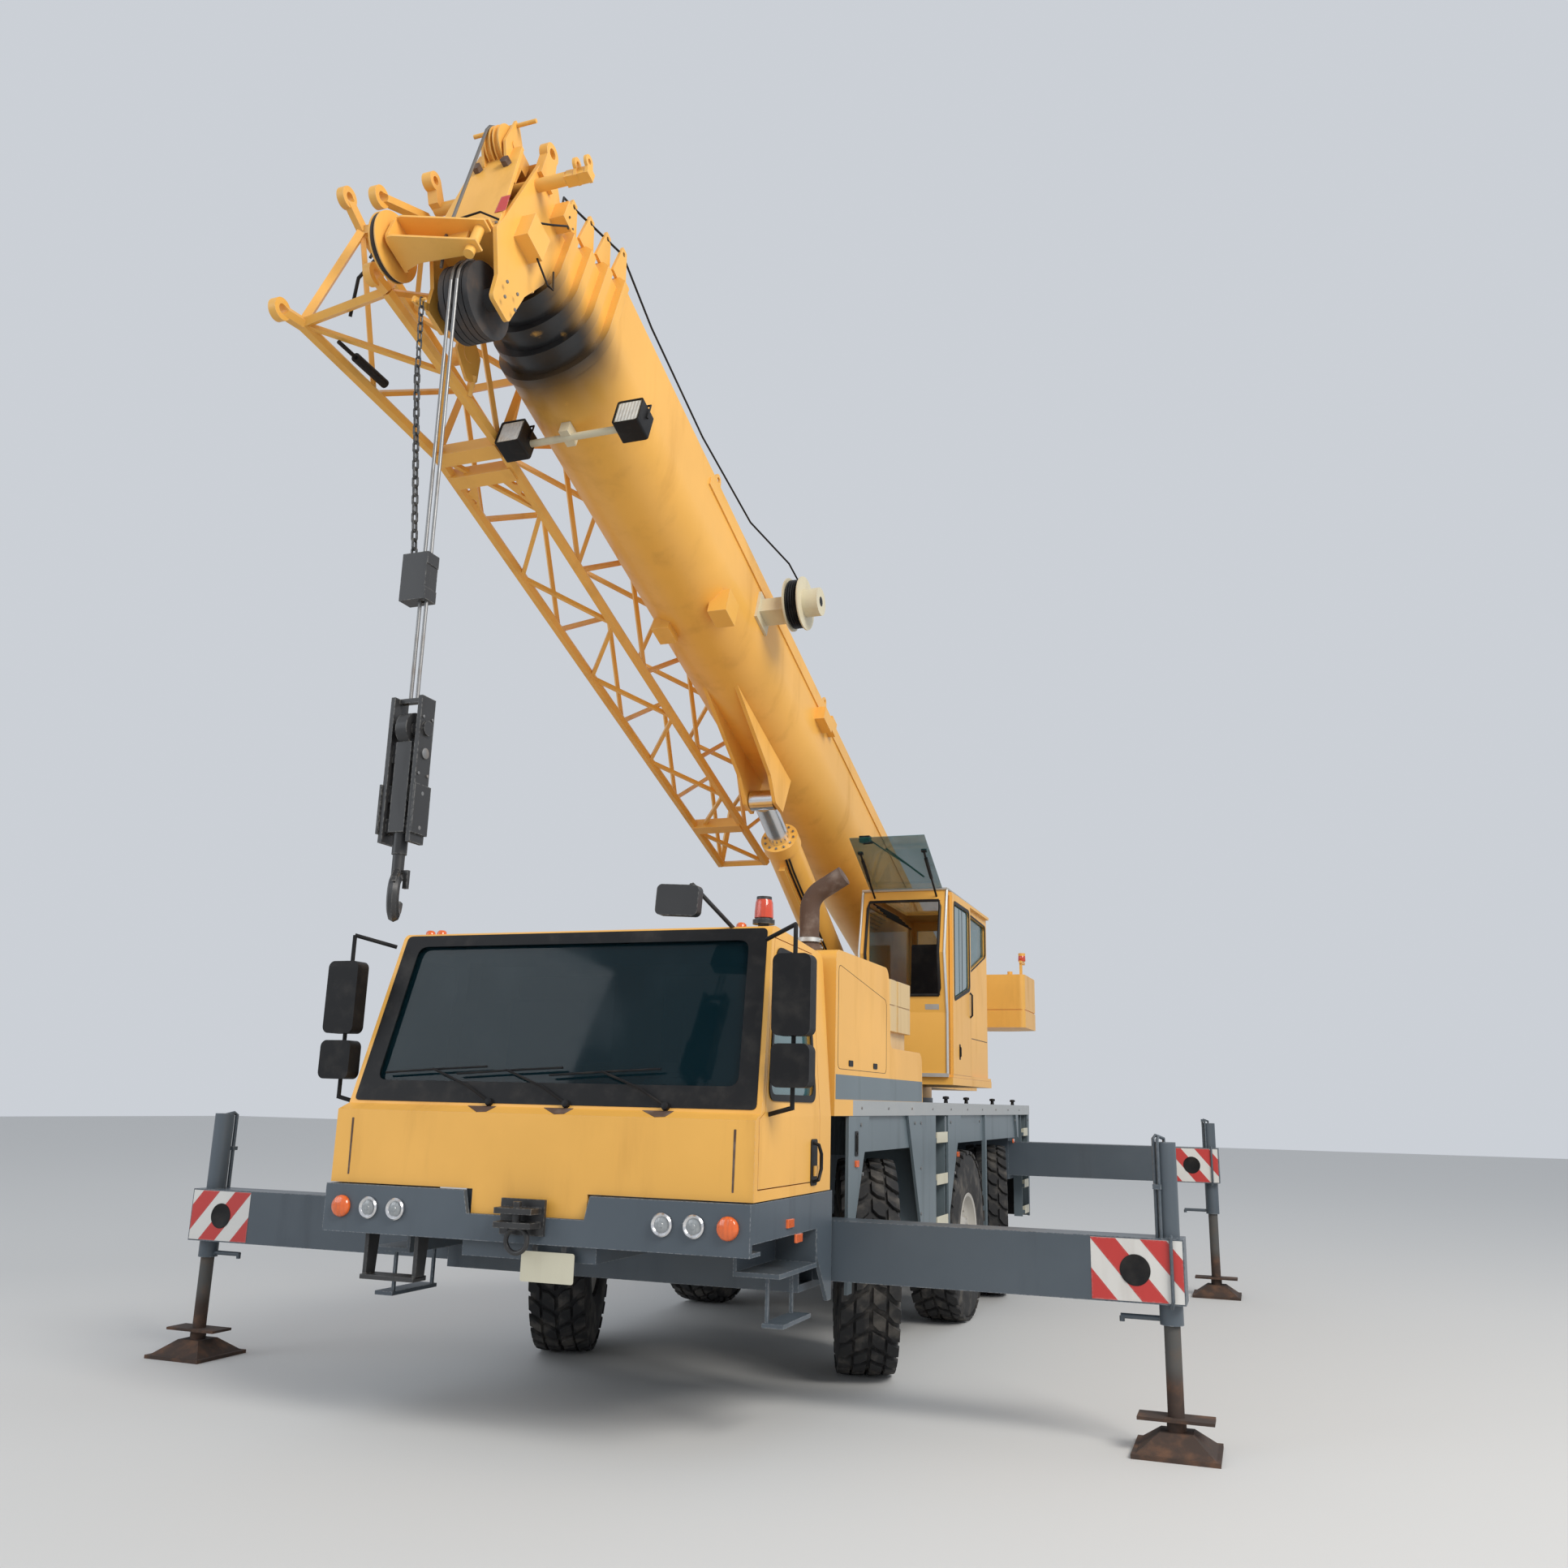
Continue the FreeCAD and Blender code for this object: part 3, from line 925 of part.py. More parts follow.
node(made("crane_cab_glass", Part.makeCompound([panes.common(openings[w]) for w in ("side", "inner", "rear",
                                                                                    "roof")] + [raised])))


def door_slab(edge, low_z, low_rear_z, high_z, x, thick, radii=None):
    return slab([over(front - s.crane_door_front - edge, low_z),
                 over(front - s.crane_door_front - edge, high_z),
                 over(door_rear + edge, high_z), over(door_rear + edge, low_rear_z)], "yz", x, x + thick,
                 radii)


leaf_x = outer + s.crane_door_gap
leaf = door_slab(0, door_low, door_low, door_high, leaf_x, s.crane_door_wall)
light = door_slab(pillar, sill - 80, sill + 60, head, leaf_x - 1, s.crane_door_wall + 2, 40)
pane = door_slab(pillar, sill - 80, sill + 60, head, leaf_x + 10, s.glass_wall, 40)
node(made("crane_cab_door", leaf.cut(light).fuse(pane)))
seat_x = (inner + outer) / 2
cushion = base + s.seat_high
seat = fused([block((seat_x - 120, seat_x + 120), (slew_y - 900, slew_y - 600), (base + wall, cushion)),
              slab([over(1020, cushion), over(1020, cushion + 115), over(500, cushion + 130),
                    over(500, cushion)], "yz",
                   seat_x - s.seat_wide / 2, seat_x + s.seat_wide / 2, {1: 45}),
              slab([over(620, cushion + 90), over(570, cushion + 810), over(480, cushion + 810),
                    over(480, cushion + 90)], "yz",
                   seat_x - s.seat_wide / 2 + 10, seat_x + s.seat_wide / 2 - 10, {1: 35, 2: 35})])
consoles = [block((x - 60, x + 60), (slew_y - 950, slew_y - 620),
                  (base + wall, cushion + 210)) for x in (seat_x - 240, seat_x + 240)]
node(made("crane_seat", fused([seat] + [c.cut(seat) for c in consoles])))

# Boom, modelled level about its foot pin: s runs forward along -Y, u is up
pivot = Vector(0, slew_y + s.pivot_back, s.pivot_z)
on_boom = Placement(pivot, Rotation(Vector(1, 0, 0), -s.luff_angle))


def along(x, run, u):
    return Vector(x, -run, u)


def u_section(wide, high, low, start, stop, wall=0):
    """A boom tube: flat top with chamfered edges, upright sides and a half-round underside."""
    half = wide / 2

    def solid(inset):
        r = half - inset
        middle, top = low + half, low + high - inset
        corner = s.boom_chamfer
        left, right, bottom = Vector(-r, 0, middle), Vector(r, 0, middle), Vector(0, 0, middle - r)
        ring = [right, Vector(r, 0, top - corner), Vector(r - corner, 0, top), Vector(-r + corner, 0, top),
                Vector(-r, 0, top - corner), left]
        edges = [Part.Arc(left, bottom, right).toShape()]
        edges += [Part.LineSegment(a, b).toShape() for a, b in zip(ring, ring[1:])]
        return Part.Face(Part.Wire(edges)).extrude(Vector(0, start - stop, 0)).translated(Vector(0, -start,
                                                                                                 0))

    return solid(0).cut(solid(wall)) if wall else solid(0)


def profile(points, x, thick, radii=None):
    """A plate square to X, its outline given as (s, u) points."""
    return slab([(-run, u) for run, u in points], "yz", x, x + thick, radii)


def pin_hole(x, run, u, radius, long):
    return round_bar(radius, along(x, run, u), (long, 0, 0))


def lug(x, run, u, foot, radius, bore, thick):
    """A rounded eye on a foot, square to X. The foot is two (s, u) points; its hole may be cut later."""
    side = 1 if foot[0][1] < u else -1
    wide = radius * 0.7
    web = profile([foot[0], foot[1], (run + wide, u + side * wide), (run - wide, u + side * wide)], x, thick)
    eye = pin_hole(x, run, u, radius, thick).fuse(web)
    return eye.cut(pin_hole(x - 1, run, u, bore, thick + 2)) if bore else eye


FIN = [(-120, -2), (60, -2), (34, s.fin_high), (-16, s.fin_high)]


def fins(end, top, half):
    """A pair of upright fins on a collar, each with a hole for the cable."""
    plates = []
    for x in (-half + 50, half - 50 - s.fin_wall):
        plate = profile([(end + a, top + b) for a, b in FIN], x, s.fin_wall)
        plates.append(plate.cut(pin_hole(x - 1, end + 8, top + s.fin_high - 36, 15, s.fin_wall + 2)))
    return plates


def collar(wide, high, low, end):
    wall = s.collar_wall
    return u_section(wide + 2 * wall, high + 2 * wall, low - wall, end - s.collar_long, end,
                     wall + s.stage_step - s.stage_fit)


half = s.boom_wide / 2
base = [u_section(s.boom_wide, s.boom_high, s.boom_low, s.boom_start, s.boom_end, s.boom_wall),
        collar(s.boom_wide, s.boom_high, s.boom_low, s.boom_end),
        u_section(s.boom_wide, s.boom_high, s.boom_low, s.boom_start, s.boom_start + 2 * s.boom_wall)]
EYE_PLATE = [(s.eye_s - 160, s.boom_low + 25), (s.eye_s - 100, -s.eye_drop - 60),
             (s.eye_s + 70, -s.eye_drop - 80),
             (s.eye_s + 260, -s.eye_drop + 60), (s.eye_s + 1150, s.boom_low + 25)]
base += [profile(EYE_PLATE, x, s.bracket_wall, {2: 40}) for x in (s.bracket_x,
                                                                  -s.bracket_x - s.bracket_wall)]
base += fins(s.boom_end, s.boom_top + s.collar_wall, half)
base += [pin_hole(-s.cheek_x + s.cheek_fit, 0, 0, s.pivot_boss, 2 * (s.cheek_x - s.cheek_fit))]
# Strips along both upper edges, guide plates, roller bracket and the two adjuster boxes under the belly
for x in (half - 1, -half - 11):
    base.append(block((x, x + 12), (-7380, -1000), (s.boom_top - 190, s.boom_top - 130)))
base.append(lug(half - 60, 7180, s.boom_top + 60, ((7110, s.boom_top - 5), (7250, s.boom_top - 5)), 45, 22,
                14))
base.append(lug(half - 60, 4560, s.boom_top + 70, ((4480, s.boom_top - 5), (4650, s.boom_top - 5)), 40, 20,
                14))
base.append(block((half - 1, half + 85), (-4850, -4640), (s.boom_top - 330, s.boom_top - 210)))
base.append(block((half - 1, half + 60), (-4600, -4470), (s.boom_top - 250, s.boom_top - 120)))
base.append(block((230, 370), (-6800, -6620), (s.boom_low, s.boom_low + 190)))
base.append(block((-220, -90), (-6730, -6560), (s.boom_low - 45, s.boom_low + 60)))
base = fused(base).cut(u_section(s.boom_wide - 2 * s.boom_wall, s.boom_high - 2 * s.boom_wall,
                                 s.boom_low + s.boom_wall,
                                 s.pivot_boss + 200, s.boom_end - s.collar_long - 50))
base = base.cut(pin_hole(-2 * s.cheek_x, 0, 0, s.pivot_pin + s.running_fit, 4 * s.cheek_x))
node(made("boom_base", base), on_boom)

STAGES = ("boom_stage_one", "boom_stage_two", "boom_stage_three", "boom_head")
for k, name in enumerate(STAGES, start=1):
    step = k * s.stage_step
    wide, high, low = s.boom_wide - 2 * step, s.boom_high - 2 * step, s.boom_low + step
    end = s.boom_end + k * s.stage_show
    start = s.stage_start + s.stage_lap * k
    around = s.stage_step - (s.boom_wall if k == 1 else s.stage_wall) - s.stage_fit
    parts = [u_section(wide, high, low, start, end, s.stage_wall),
             u_section(wide + 2 * around, high + 2 * around, low - around, start, start + s.shoe_long,
                       around + s.stage_wall)]
    if k < len(STAGES):
        parts += [collar(wide, high, low, end)] + fins(end, low + high + s.collar_wall, wide / 2)
        node(made(name, fused(parts)), on_boom)

# Boom head: side plates, a front plate that narrows upwards, a cross tube with a lug and a clevis, top pulleys
half, top = wide / 2, low + high
axle_s, axle_u = s.head_axle, -s.head_axle_drop
CHEEK_PLATE = [(end - 110, low + 40), (end - 110, top - 8), (s.ear_s - 60, s.head_top),
               (s.ear_s + 10, s.head_top),
               (s.head_nose - 20, 150), (s.head_nose, 60), (axle_s + 110, axle_u + 40),
               (axle_s + 90, axle_u - 110),
               (axle_s - 80, axle_u - 110), (axle_s - 120, axle_u + 160)]
parts += [profile(CHEEK_PLATE, x, s.head_plate, {7: 30, 8: 30}) for x in (half - s.head_plate, -half)]
parts.append(slab([(-half, 60), (half, 60), (half - 70, s.head_top - 120), (-half + 70, s.head_top - 120)],
                  "xz",
                  -s.head_nose + 5, -s.head_nose + 5 + s.head_plate))
parts.append(profile([(end - 60, top - 20), (end - 60, top), (s.ear_s - 50, s.head_top - 20),
                      (s.ear_s - 20, s.head_top - 40)],
                     -half, 2 * half))
parts.append(block((-half, half), (-s.head_nose + 10, -end + 60), (60, 84)))
parts.append(pin_hole(-half, axle_s, axle_u, s.sheave_pin, 2 * half))
parts.append(pin_hole(-450, s.tube_s, s.tube_u, s.tube_round, 840))
parts.append(lug(-455, s.tube_s + 130, s.tube_u + 70, ((s.tube_s - 30, s.tube_u - 20),
                                                       (s.tube_s + 60, s.tube_u - 30)), 52, 24, 60))
clevis_x = 390
parts += [lug(x, s.tube_s + 40, s.tube_u + 40, ((s.tube_s - 40, s.tube_u - 30),
                                                (s.tube_s + 30, s.tube_u - 36)), 38, 16, 18)
          for x in (clevis_x + 60, clevis_x + 130)]
parts.append(block((clevis_x, clevis_x + 148), (-s.tube_s - 30, -s.tube_s + 36),
                   (s.tube_u - 32, s.tube_u + 28)))
ear_x, ear_thick = half - s.head_plate - 1, s.head_plate + s.ear_wall + 1
parts.append(lug(ear_x, s.ear_s, s.ear_u, ((s.ear_s - 110, top + 20), (s.ear_s + 30, top + 20)),
                 s.ear_radius,
                 0, ear_thick))
pulley_s, pulley_u, pulley_r = s.top_pulley_s, s.top_pulley_u, s.top_pulley_radius
PULLEY_CHEEK = [(pulley_s - 110, pulley_u - 190), (pulley_s - 10, pulley_u - 190),
                (pulley_s + 75, pulley_u - 60),
                (pulley_s + 60, pulley_u + 150), (pulley_s + 20, pulley_u + 150),
                (pulley_s - 110, pulley_u + 20)]
pulley_x = s.top_pulley_wide + 22
parts += [profile(PULLEY_CHEEK, x, 16, {2: 30}) for x in (pulley_x, -pulley_x - 16)]
for x in (-s.top_pulley_wide - 8, 8):
    groove = s.top_pulley_wide / 2
    parts.append(pin_hole(x, pulley_s, pulley_u, pulley_r - 16, s.top_pulley_wide))
    parts += [pin_hole(x + edge, pulley_s, pulley_u, pulley_r, 8) for edge in (0, s.top_pulley_wide - 8)]
parts.append(pin_hole(-pulley_x - 22, pulley_s, pulley_u, 26, 2 * pulley_x + 44))
parts.append(pin_hole(-200, pulley_s + 40, pulley_u + 130, 12, 400))
parts.append(block((-pulley_x - 8, pulley_x + 8), (-s.ear_s - 60, -s.ear_s + 34),
                   (s.head_top - 130, s.head_top - 24)))
parts.append(block((half - 1, half + 85), (-9670, -9500), (160, 340)))
parts.append(block((half - 1, half + 90), (-9480, -9380), (600, 740)))

# Nose sheave on its yoke, folded to the head's right side
nose_x, nose_s, nose_u = s.nose_sheave_x, s.nose_sheave_s, s.nose_sheave_u
ARM = [(170, -s.head_nose + 10), (170, -s.head_nose - 60), (nose_x + 90, -nose_s - 110),
       (nose_x + 62, -nose_s - 110),
       (nose_x + 62, -nose_s + 90), (nose_x + 150, -s.head_nose - 4), (60, -s.head_nose + 10)]
for u in (nose_u - s.nose_arm_high / 2, nose_u + s.nose_arm_high / 2 - 14):
    parts.append(slab(ARM, "xy", u, u + 14))
parts.append(block((nose_x + 120, 60), (-s.head_nose - 24, -s.head_nose - 8),
                   (nose_u - s.nose_arm_high / 2, nose_u + s.nose_arm_high / 2)))
parts.append(profile([(nose_s - 100, nose_u - 90), (nose_s - 100, nose_u + 90), (nose_s + 110, nose_u + 90),
                      (nose_s + 110, nose_u - 90)],
                     nose_x + 42, 20, {2: 40, 3: 40}))
parts.append(pin_hole(nose_x - 14, nose_s, nose_u, s.nose_sheave_radius - 20, 28))
parts += [pin_hole(nose_x + x, nose_s, nose_u, s.nose_sheave_radius, 7) for x in (-21, 14)]
parts.append(pin_hole(nose_x - 40, nose_s, nose_u, 40, 84))
parts.append(Part.makeCylinder(28, s.nose_arm_high + 90, along(120, s.head_nose + 18,
                                                               nose_u - s.nose_arm_high / 2 - 45),
                               Vector(0, 0, 1)))
parts.append(block((62, 178), (-s.head_nose - 44, -s.head_nose + 15), (63, 81)))
head = fused(parts).cut(pin_hole(ear_x - 1, s.ear_s, s.ear_u, s.ear_bore, ear_thick + 2))
node(made("boom_head", head), on_boom)

# Head sheaves on the lower axle of the boom head, each with a rope groove
SHEAVE_COUNT = 5
groove = s.rope_radius * 2
sheaves = [pin_hole(-half + s.head_plate + 10, axle_s, axle_u, s.sheave_hub, 2 * (half - s.head_plate - 10))]
for k in range(SHEAVE_COUNT):
    x = s.sheave_x + (k - (SHEAVE_COUNT - 1) / 2) * s.sheave_pitch - s.sheave_wide / 2
    sheaves.append(pin_hole(x, axle_s, axle_u, s.sheave_radius, s.sheave_wide))
sheave_set = fused(sheaves).cut(pin_hole(-2 * half, axle_s, axle_u, s.sheave_pin + s.running_fit, 4 * half))
node(made("head_sheaves", sheave_set), on_boom)

# Luffing cylinder between the turntable and the boom's bracket
base_pin = Vector(0, slew_y + s.base_pin_back, s.base_pin_z)
rod_eye = on_boom.multVec(along(0, s.eye_s, -s.eye_drop))
reach = rod_eye - base_pin
tilt = math.degrees(math.atan2(reach.z, -reach.y))
on_cylinder = Placement(base_pin, Rotation(Vector(1, 0, 0), -tilt))
closed = reach.Length - s.rod_cover
barrel = fused([
    round_bar(s.barrel_radius, (0, -s.foot_half, 0), (0, s.foot_half - closed, 0)),
    round_bar(s.barrel_radius + s.barrel_lip, (0, -closed + s.barrel_head, 0), (0, -s.barrel_head, 0)),
    block((-s.foot_half, s.foot_half), (-1.5 * s.foot_half, 0), (-s.pivot_boss, s.pivot_boss)),
    round_bar(s.pivot_boss, (-s.foot_half, 0, 0), (2 * s.foot_half, 0, 0)),
    block((-26, 26), (-closed + 200, -700), (-s.barrel_radius - 44, -s.barrel_radius + 20)),
])
barrel = barrel.cut(round_bar(s.cylinder_pin + s.running_fit, (-200, 0, 0), (400, 0, 0)))
barrel = barrel.cut(round_bar(s.rod_radius + s.running_fit, (0, -500, 0), (0, -closed, 0)))
node(made("luff_barrel", barrel), on_cylinder)
rod_piece = fused([round_bar(s.rod_radius, (0, -reach.Length + s.rod_long + 40, 0), (0, -s.rod_long, 0)),
                   round_bar(s.eye_radius, (-s.eye_wide / 2, -reach.Length, 0), (s.eye_wide, 0, 0))])
node(made("luff_rod", rod_piece), on_cylinder)
print("luff cylinder", reach.Length, tilt, base_pin, rod_eye)

# Lattice jib stowed along the boom's right side
JIB_BAYS = 11
JIB_CORNERS = [(-s.jib_inner, s.jib_low), (-s.jib_inner, s.jib_high), (-s.jib_outer, s.jib_high),
               (-s.jib_outer, s.jib_low)]
# Its front two bays flare outwards: how far each corner moves in x and u by the front end
JIB_FLARE = ((-80, 0), (-60, 60), (-60, 90), (-150, -130))
JIB_STRAIGHT = JIB_BAYS - 2
# Lugs at the front end: corner, x, s, u
JIB_LUGS = ((3, -1060, 9790, -240), (2, -980, 9810, 720), (1, -600, 9900, 450), (0, -570, 9740, -20))


def jib_corner(i, k):
    spread = max(0, k - JIB_STRAIGHT) / (JIB_BAYS - JIB_STRAIGHT)
    (x, u), (dx, du) = JIB_CORNERS[i % 4], JIB_FLARE[i % 4]
    return along(x + dx * spread, s.jib_rear + k * (s.jib_front - s.jib_rear) / JIB_BAYS, u + du * spread)


def jib():
    chord, brace = s.jib_chord, s.jib_brace
    shapes = []
    for i in range(4):
        for first, last in ((0, JIB_STRAIGHT), (JIB_STRAIGHT, JIB_BAYS)):
            shapes.append(bar(jib_corner(i, first), jib_corner(i, last), chord, 6))
        for k in range(JIB_BAYS + 1):
            if k in (0, JIB_STRAIGHT, JIB_BAYS):
                shapes.append(bar(jib_corner(i, k), jib_corner(i + 1, k), chord * 0.8, 4))
            if k < JIB_BAYS:
                first, second = (i, i + 1) if k % 2 else (i + 1, i)
                shapes.append(bar(jib_corner(first, k), jib_corner(second, k + 1), brace, 4))
    for i, x, run, u in JIB_LUGS:
        shapes.append(bar(jib_corner(i, JIB_BAYS), along(x, run, u), chord, 6))
        shapes.append(pin_hole(x - s.jib_lug_wall / 2, run, u, s.jib_lug, s.jib_lug_wall))
    low = s.jib_low
    for run in (8510, 8320, 4150):
        shapes.append(block((-s.jib_outer, -s.jib_inner), (-run - s.beam_deep / 2, -run + s.beam_deep / 2),
                            (low - 45, low + 45)))
    for x, inward in ((-s.jib_outer, 1), (-s.jib_inner, -1)):
        plate = slab([(x, -8300), (x, -7950), (x + inward * 150, -8300)], "xy", low - 10, low + 10)
        for reach_in, run, radius in ((38, 8240, 30), (30, 8130, 24)):
            plate = plate.cut(Part.makeCylinder(radius, 100, along(x + inward * reach_in, run, low - 50)))
        shapes.append(plate)
    shapes.append(profile([(9000, -30), (9160, 60), (9180, 200), (9080, 270), (8960, 200), (8920, 40)],
                          -s.jib_inner + 30, 16, 25))
    shapes.append(pin_hole(-s.jib_inner - 60, 9060, 130, 52, 110))
    shapes.append(bar(along(-s.jib_inner + 38, 8960, 60), along(-s.jib_inner, 8900, s.jib_low), 24, 6))
    for run in (s.jib_rear + 300, s.jib_front - 1500):
        shapes.append(block((-s.jib_inner - s.jib_chord, -s.boom_wide / 2 - s.seat_gap),
                            (-run - 60, -run + 60), (s.jib_high - 30, s.jib_high + 30)))
    body = fused(shapes)
    for i, x, run, u in JIB_LUGS:
        body = body.cut(pin_hole(x - 2 * s.jib_lug, run, u, s.jib_lug_bore, 4 * s.jib_lug))
    return body


node(made("stowed_jib", jib()), on_boom)

# Cable reel on the boom's left side, and two work lights on a cross tube under the belly
side = s.boom_wide / 2
reel_x, wall = s.reel_x, s.reel_wall
reel = fused([pin_hole(reel_x, s.reel_s, s.reel_u, s.reel_flange, wall),
              pin_hole(reel_x, s.reel_s, s.reel_u, s.reel_drum, s.reel_wide),
              pin_hole(reel_x + s.reel_wide, s.reel_s, s.reel_u, s.reel_flange, wall),
              pin_hole(reel_x + s.reel_wide, s.reel_s, s.reel_u, s.reel_motor, s.reel_motor_long),
              block((side + s.seat_gap, reel_x), (-s.reel_s - 110, -s.reel_s + 60),
                    (s.reel_u - 130, s.reel_u - 10)),
              block((side + s.seat_gap, side + 20), (-s.reel_s - 140, -s.reel_s + 90),
                    (s.reel_u - 200, s.reel_u + 40))])
belly = s.boom_low
lamp_bar = [pin_hole(-s.light_x + 60, s.light_s, s.light_u, 22, 2 * s.light_x - 60),
            block((-30, 30), (-s.light_s - 60, -s.light_s + 60), (s.light_u - 10, belly - s.seat_gap))]
for x in (s.light_x, -s.light_x + 120):
    lamp_bar.append(slab([(x - s.light_wide / 2, -s.light_s - s.light_deep),
                          (x + s.light_wide / 2, -s.light_s - s.light_deep),
                          (x + s.light_wide / 2 - 25, -s.light_s + 20),
                          (x - s.light_wide / 2 + 25, -s.light_s + 20)], "xy",
                         s.light_u - s.light_high / 2, s.light_u + s.light_high / 2, {2: 20, 3: 20}))
node(made("boom_fittings", Part.makeCompound([reel, fused(lamp_bar)])), on_boom)

# Hook: falls of rope from the head sheaves, the block with its hook, and the hoist limit weight on its chain
sheave_axle = on_boom.multVec(along(0, axle_s, axle_u))
rope_y = sheave_axle.y - s.sheave_radius - s.rope_radius - s.seat_gap
falls = [s.sheave_x, s.sheave_x + s.sheave_pitch]
mid_x = sum(falls) / 2
rope = [bar((x, rope_y, s.block_top + s.seat_gap), (x, rope_y, sheave_axle.z), s.rope_radius) for x in falls]
node(made("hook_rope", Part.makeCompound(rope)))
half_x, half_y, top = s.block_half, s.block_deep, s.block_top
bottom = top - s.block_long


def across(low, high, x=half_x, y=half_y - 20):
    return block((mid_x - x, mid_x + x), (rope_y - y, rope_y + y), (low, high))


parts = [block((x, x + s.block_plate), (rope_y - half_y, rope_y + half_y), (bottom, top))
         for x in (mid_x - half_x, mid_x + half_x - s.block_plate)]
parts += [block((x, x + s.block_plate / 2), (rope_y - half_y - 8, rope_y + half_y + 8),
                (bottom + 40, bottom + 270))
          for x in (mid_x - half_x - s.block_plate / 2, mid_x + half_x)]
parts += [across(top - 22, top, half_x, half_y / 3), across(3207, 3303), across(3021, 3098),
          across(bottom + 48, bottom + 113),
          across(bottom + 48, 3303, 42, half_y - 10),
          round_bar(s.block_sheave, (mid_x - 30, rope_y, top - 150), (60, 0, 0)),
          round_bar(36, (mid_x - half_x - 12, rope_y, top - 150), (2 * half_x + 24, 0, 0)),
          round_bar(s.hook_wire, (mid_x, rope_y, bottom - 50), (0, 0, 120))]
bowl_z = bottom - s.hook_drop
neck_z = bowl_z + s.hook_bowl
wire = s.hook_wire * 0.8
section = [Vector(mid_x + wire * math.cos(k * math.pi / 4), rope_y,
                  neck_z + s.hook_wire * math.sin(k * math.pi / 4))
           for k in range(9)]
hook = Part.Face(Part.makePolygon(section)).revolve(Vector(mid_x, rope_y, bowl_z), Vector(1, 0, 0), 255)
latch = slab([(rope_y - 112, neck_z - 30), (rope_y - 20, neck_z + 22), (rope_y - 20, neck_z + 44),
              (rope_y - 112, neck_z - 8)],
             "yz", mid_x - 12, mid_x + 12)
hook = hook.fuse(round_bar(wire, (mid_x, rope_y, neck_z - 10), (0, 0, bottom - 40 - neck_z))).fuse(latch)
hook.rotate(Vector(mid_x, rope_y, 0), Vector(0, 0, 1), s.hook_turn)
parts.append(hook)
parts.append(block((mid_x + 20, mid_x + 62), (rope_y - 10, rope_y + 10), (neck_z + 20, neck_z + 34)))
parts.append(block((mid_x + 40, mid_x + 62), (rope_y - 10, rope_y + 10), (neck_z - 50, neck_z + 30)))
node(made("hook_block", fused(parts)))
low_z = s.weight_top - s.weight_tall
mid = mid_x - s.weight_wide / 4
body = block((mid - s.weight_wide / 2, mid + s.weight_wide / 2),
             (rope_y - s.weight_thick / 2, rope_y + s.weight_thick / 2),
             (low_z, s.weight_top))
slot = s.rope_radius + 1
body = body.cut(block((falls[0] - slot, falls[1] + s.rope_radius + s.seat_gap),
                      (rope_y - slot, rope_y + slot), (low_z - 1, s.weight_top + 1)))
body = body.cut(block((falls[1] + 14, mid + s.weight_wide), (rope_y - s.weight_thick,
                                                             rope_y + s.weight_thick),
                                                             (low_z + 60, s.weight_top - 60)))
link_in = s.link_wide / 2 - s.link_wire
LINK = [(-s.link_wide / 2, 0), (s.link_wide / 2, 0), (s.link_wide / 2, s.link_long),
        (-s.link_wide / 2, s.link_long)]
HOLE = [(-link_in, s.link_wire), (link_in, s.link_wire), (link_in, s.link_long - s.link_wire),
        (-link_in, s.link_long - s.link_wire)]
flat = slab(LINK, "xz", -s.link_wire / 2, s.link_wire / 2, s.link_wide / 2 - 1).cut(
    slab(HOLE, "xz", -s.link_wire, s.link_wire, link_in - 1))
turned_link = flat.rotated(Vector(), Vector(0, 0, 1), 90)
pitch = s.link_long - 2 * s.link_wire + s.seat_gap
chain = []
for k in range(int(s.chain_links)):
    link = (turned_link if k % 2 else flat).copy()
    link.translate(Vector(0, 0, k * pitch - s.link_wire))
    chain.append(link)
chain_foot = Vector(mid - s.weight_wide / 2 + 30, rope_y, s.weight_top - s.link_wire / 2)
chain_shape = fused(chain)
chain_shape.Placement = Placement(chain_foot, Rotation(Vector(0, 1, 0), -5.2))
node(made("limit_weight", body.fuse(chain_shape)))
print("head axle", sheave_axle, "rope y", rope_y, "falls", falls)

doc.recompute()
for piece in doc.Objects:
    if "Invalid" in piece.State or "Error" in piece.State:
        raise ValueError("failed: " + piece.Name)
os.makedirs("parts", exist_ok=True)
whole = FreeCAD.BoundBox()
for piece in NODES:
    shape = piece.Shape
    if shape.isNull() or not shape.isValid():
        raise ValueError("bad shape: " + piece.Label)
    whole.add(shape.BoundBox)
    shape.exportStep(os.path.join("parts", piece.Label + ".step"))
print(len(NODES), "nodes", whole)
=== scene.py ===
# %% [markdown]
# # A mobile crane, dressed for its portrait
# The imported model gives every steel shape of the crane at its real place, in metres.
# This script adds what a solid modeller leaves out: paint that has stood in the sun,
# tyre treads, bolts, lamps and hoses. The crane faces -Y and its left side is +X.

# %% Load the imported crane
import json
import math

import bmesh
import bpy
from mathutils import Matrix, Vector


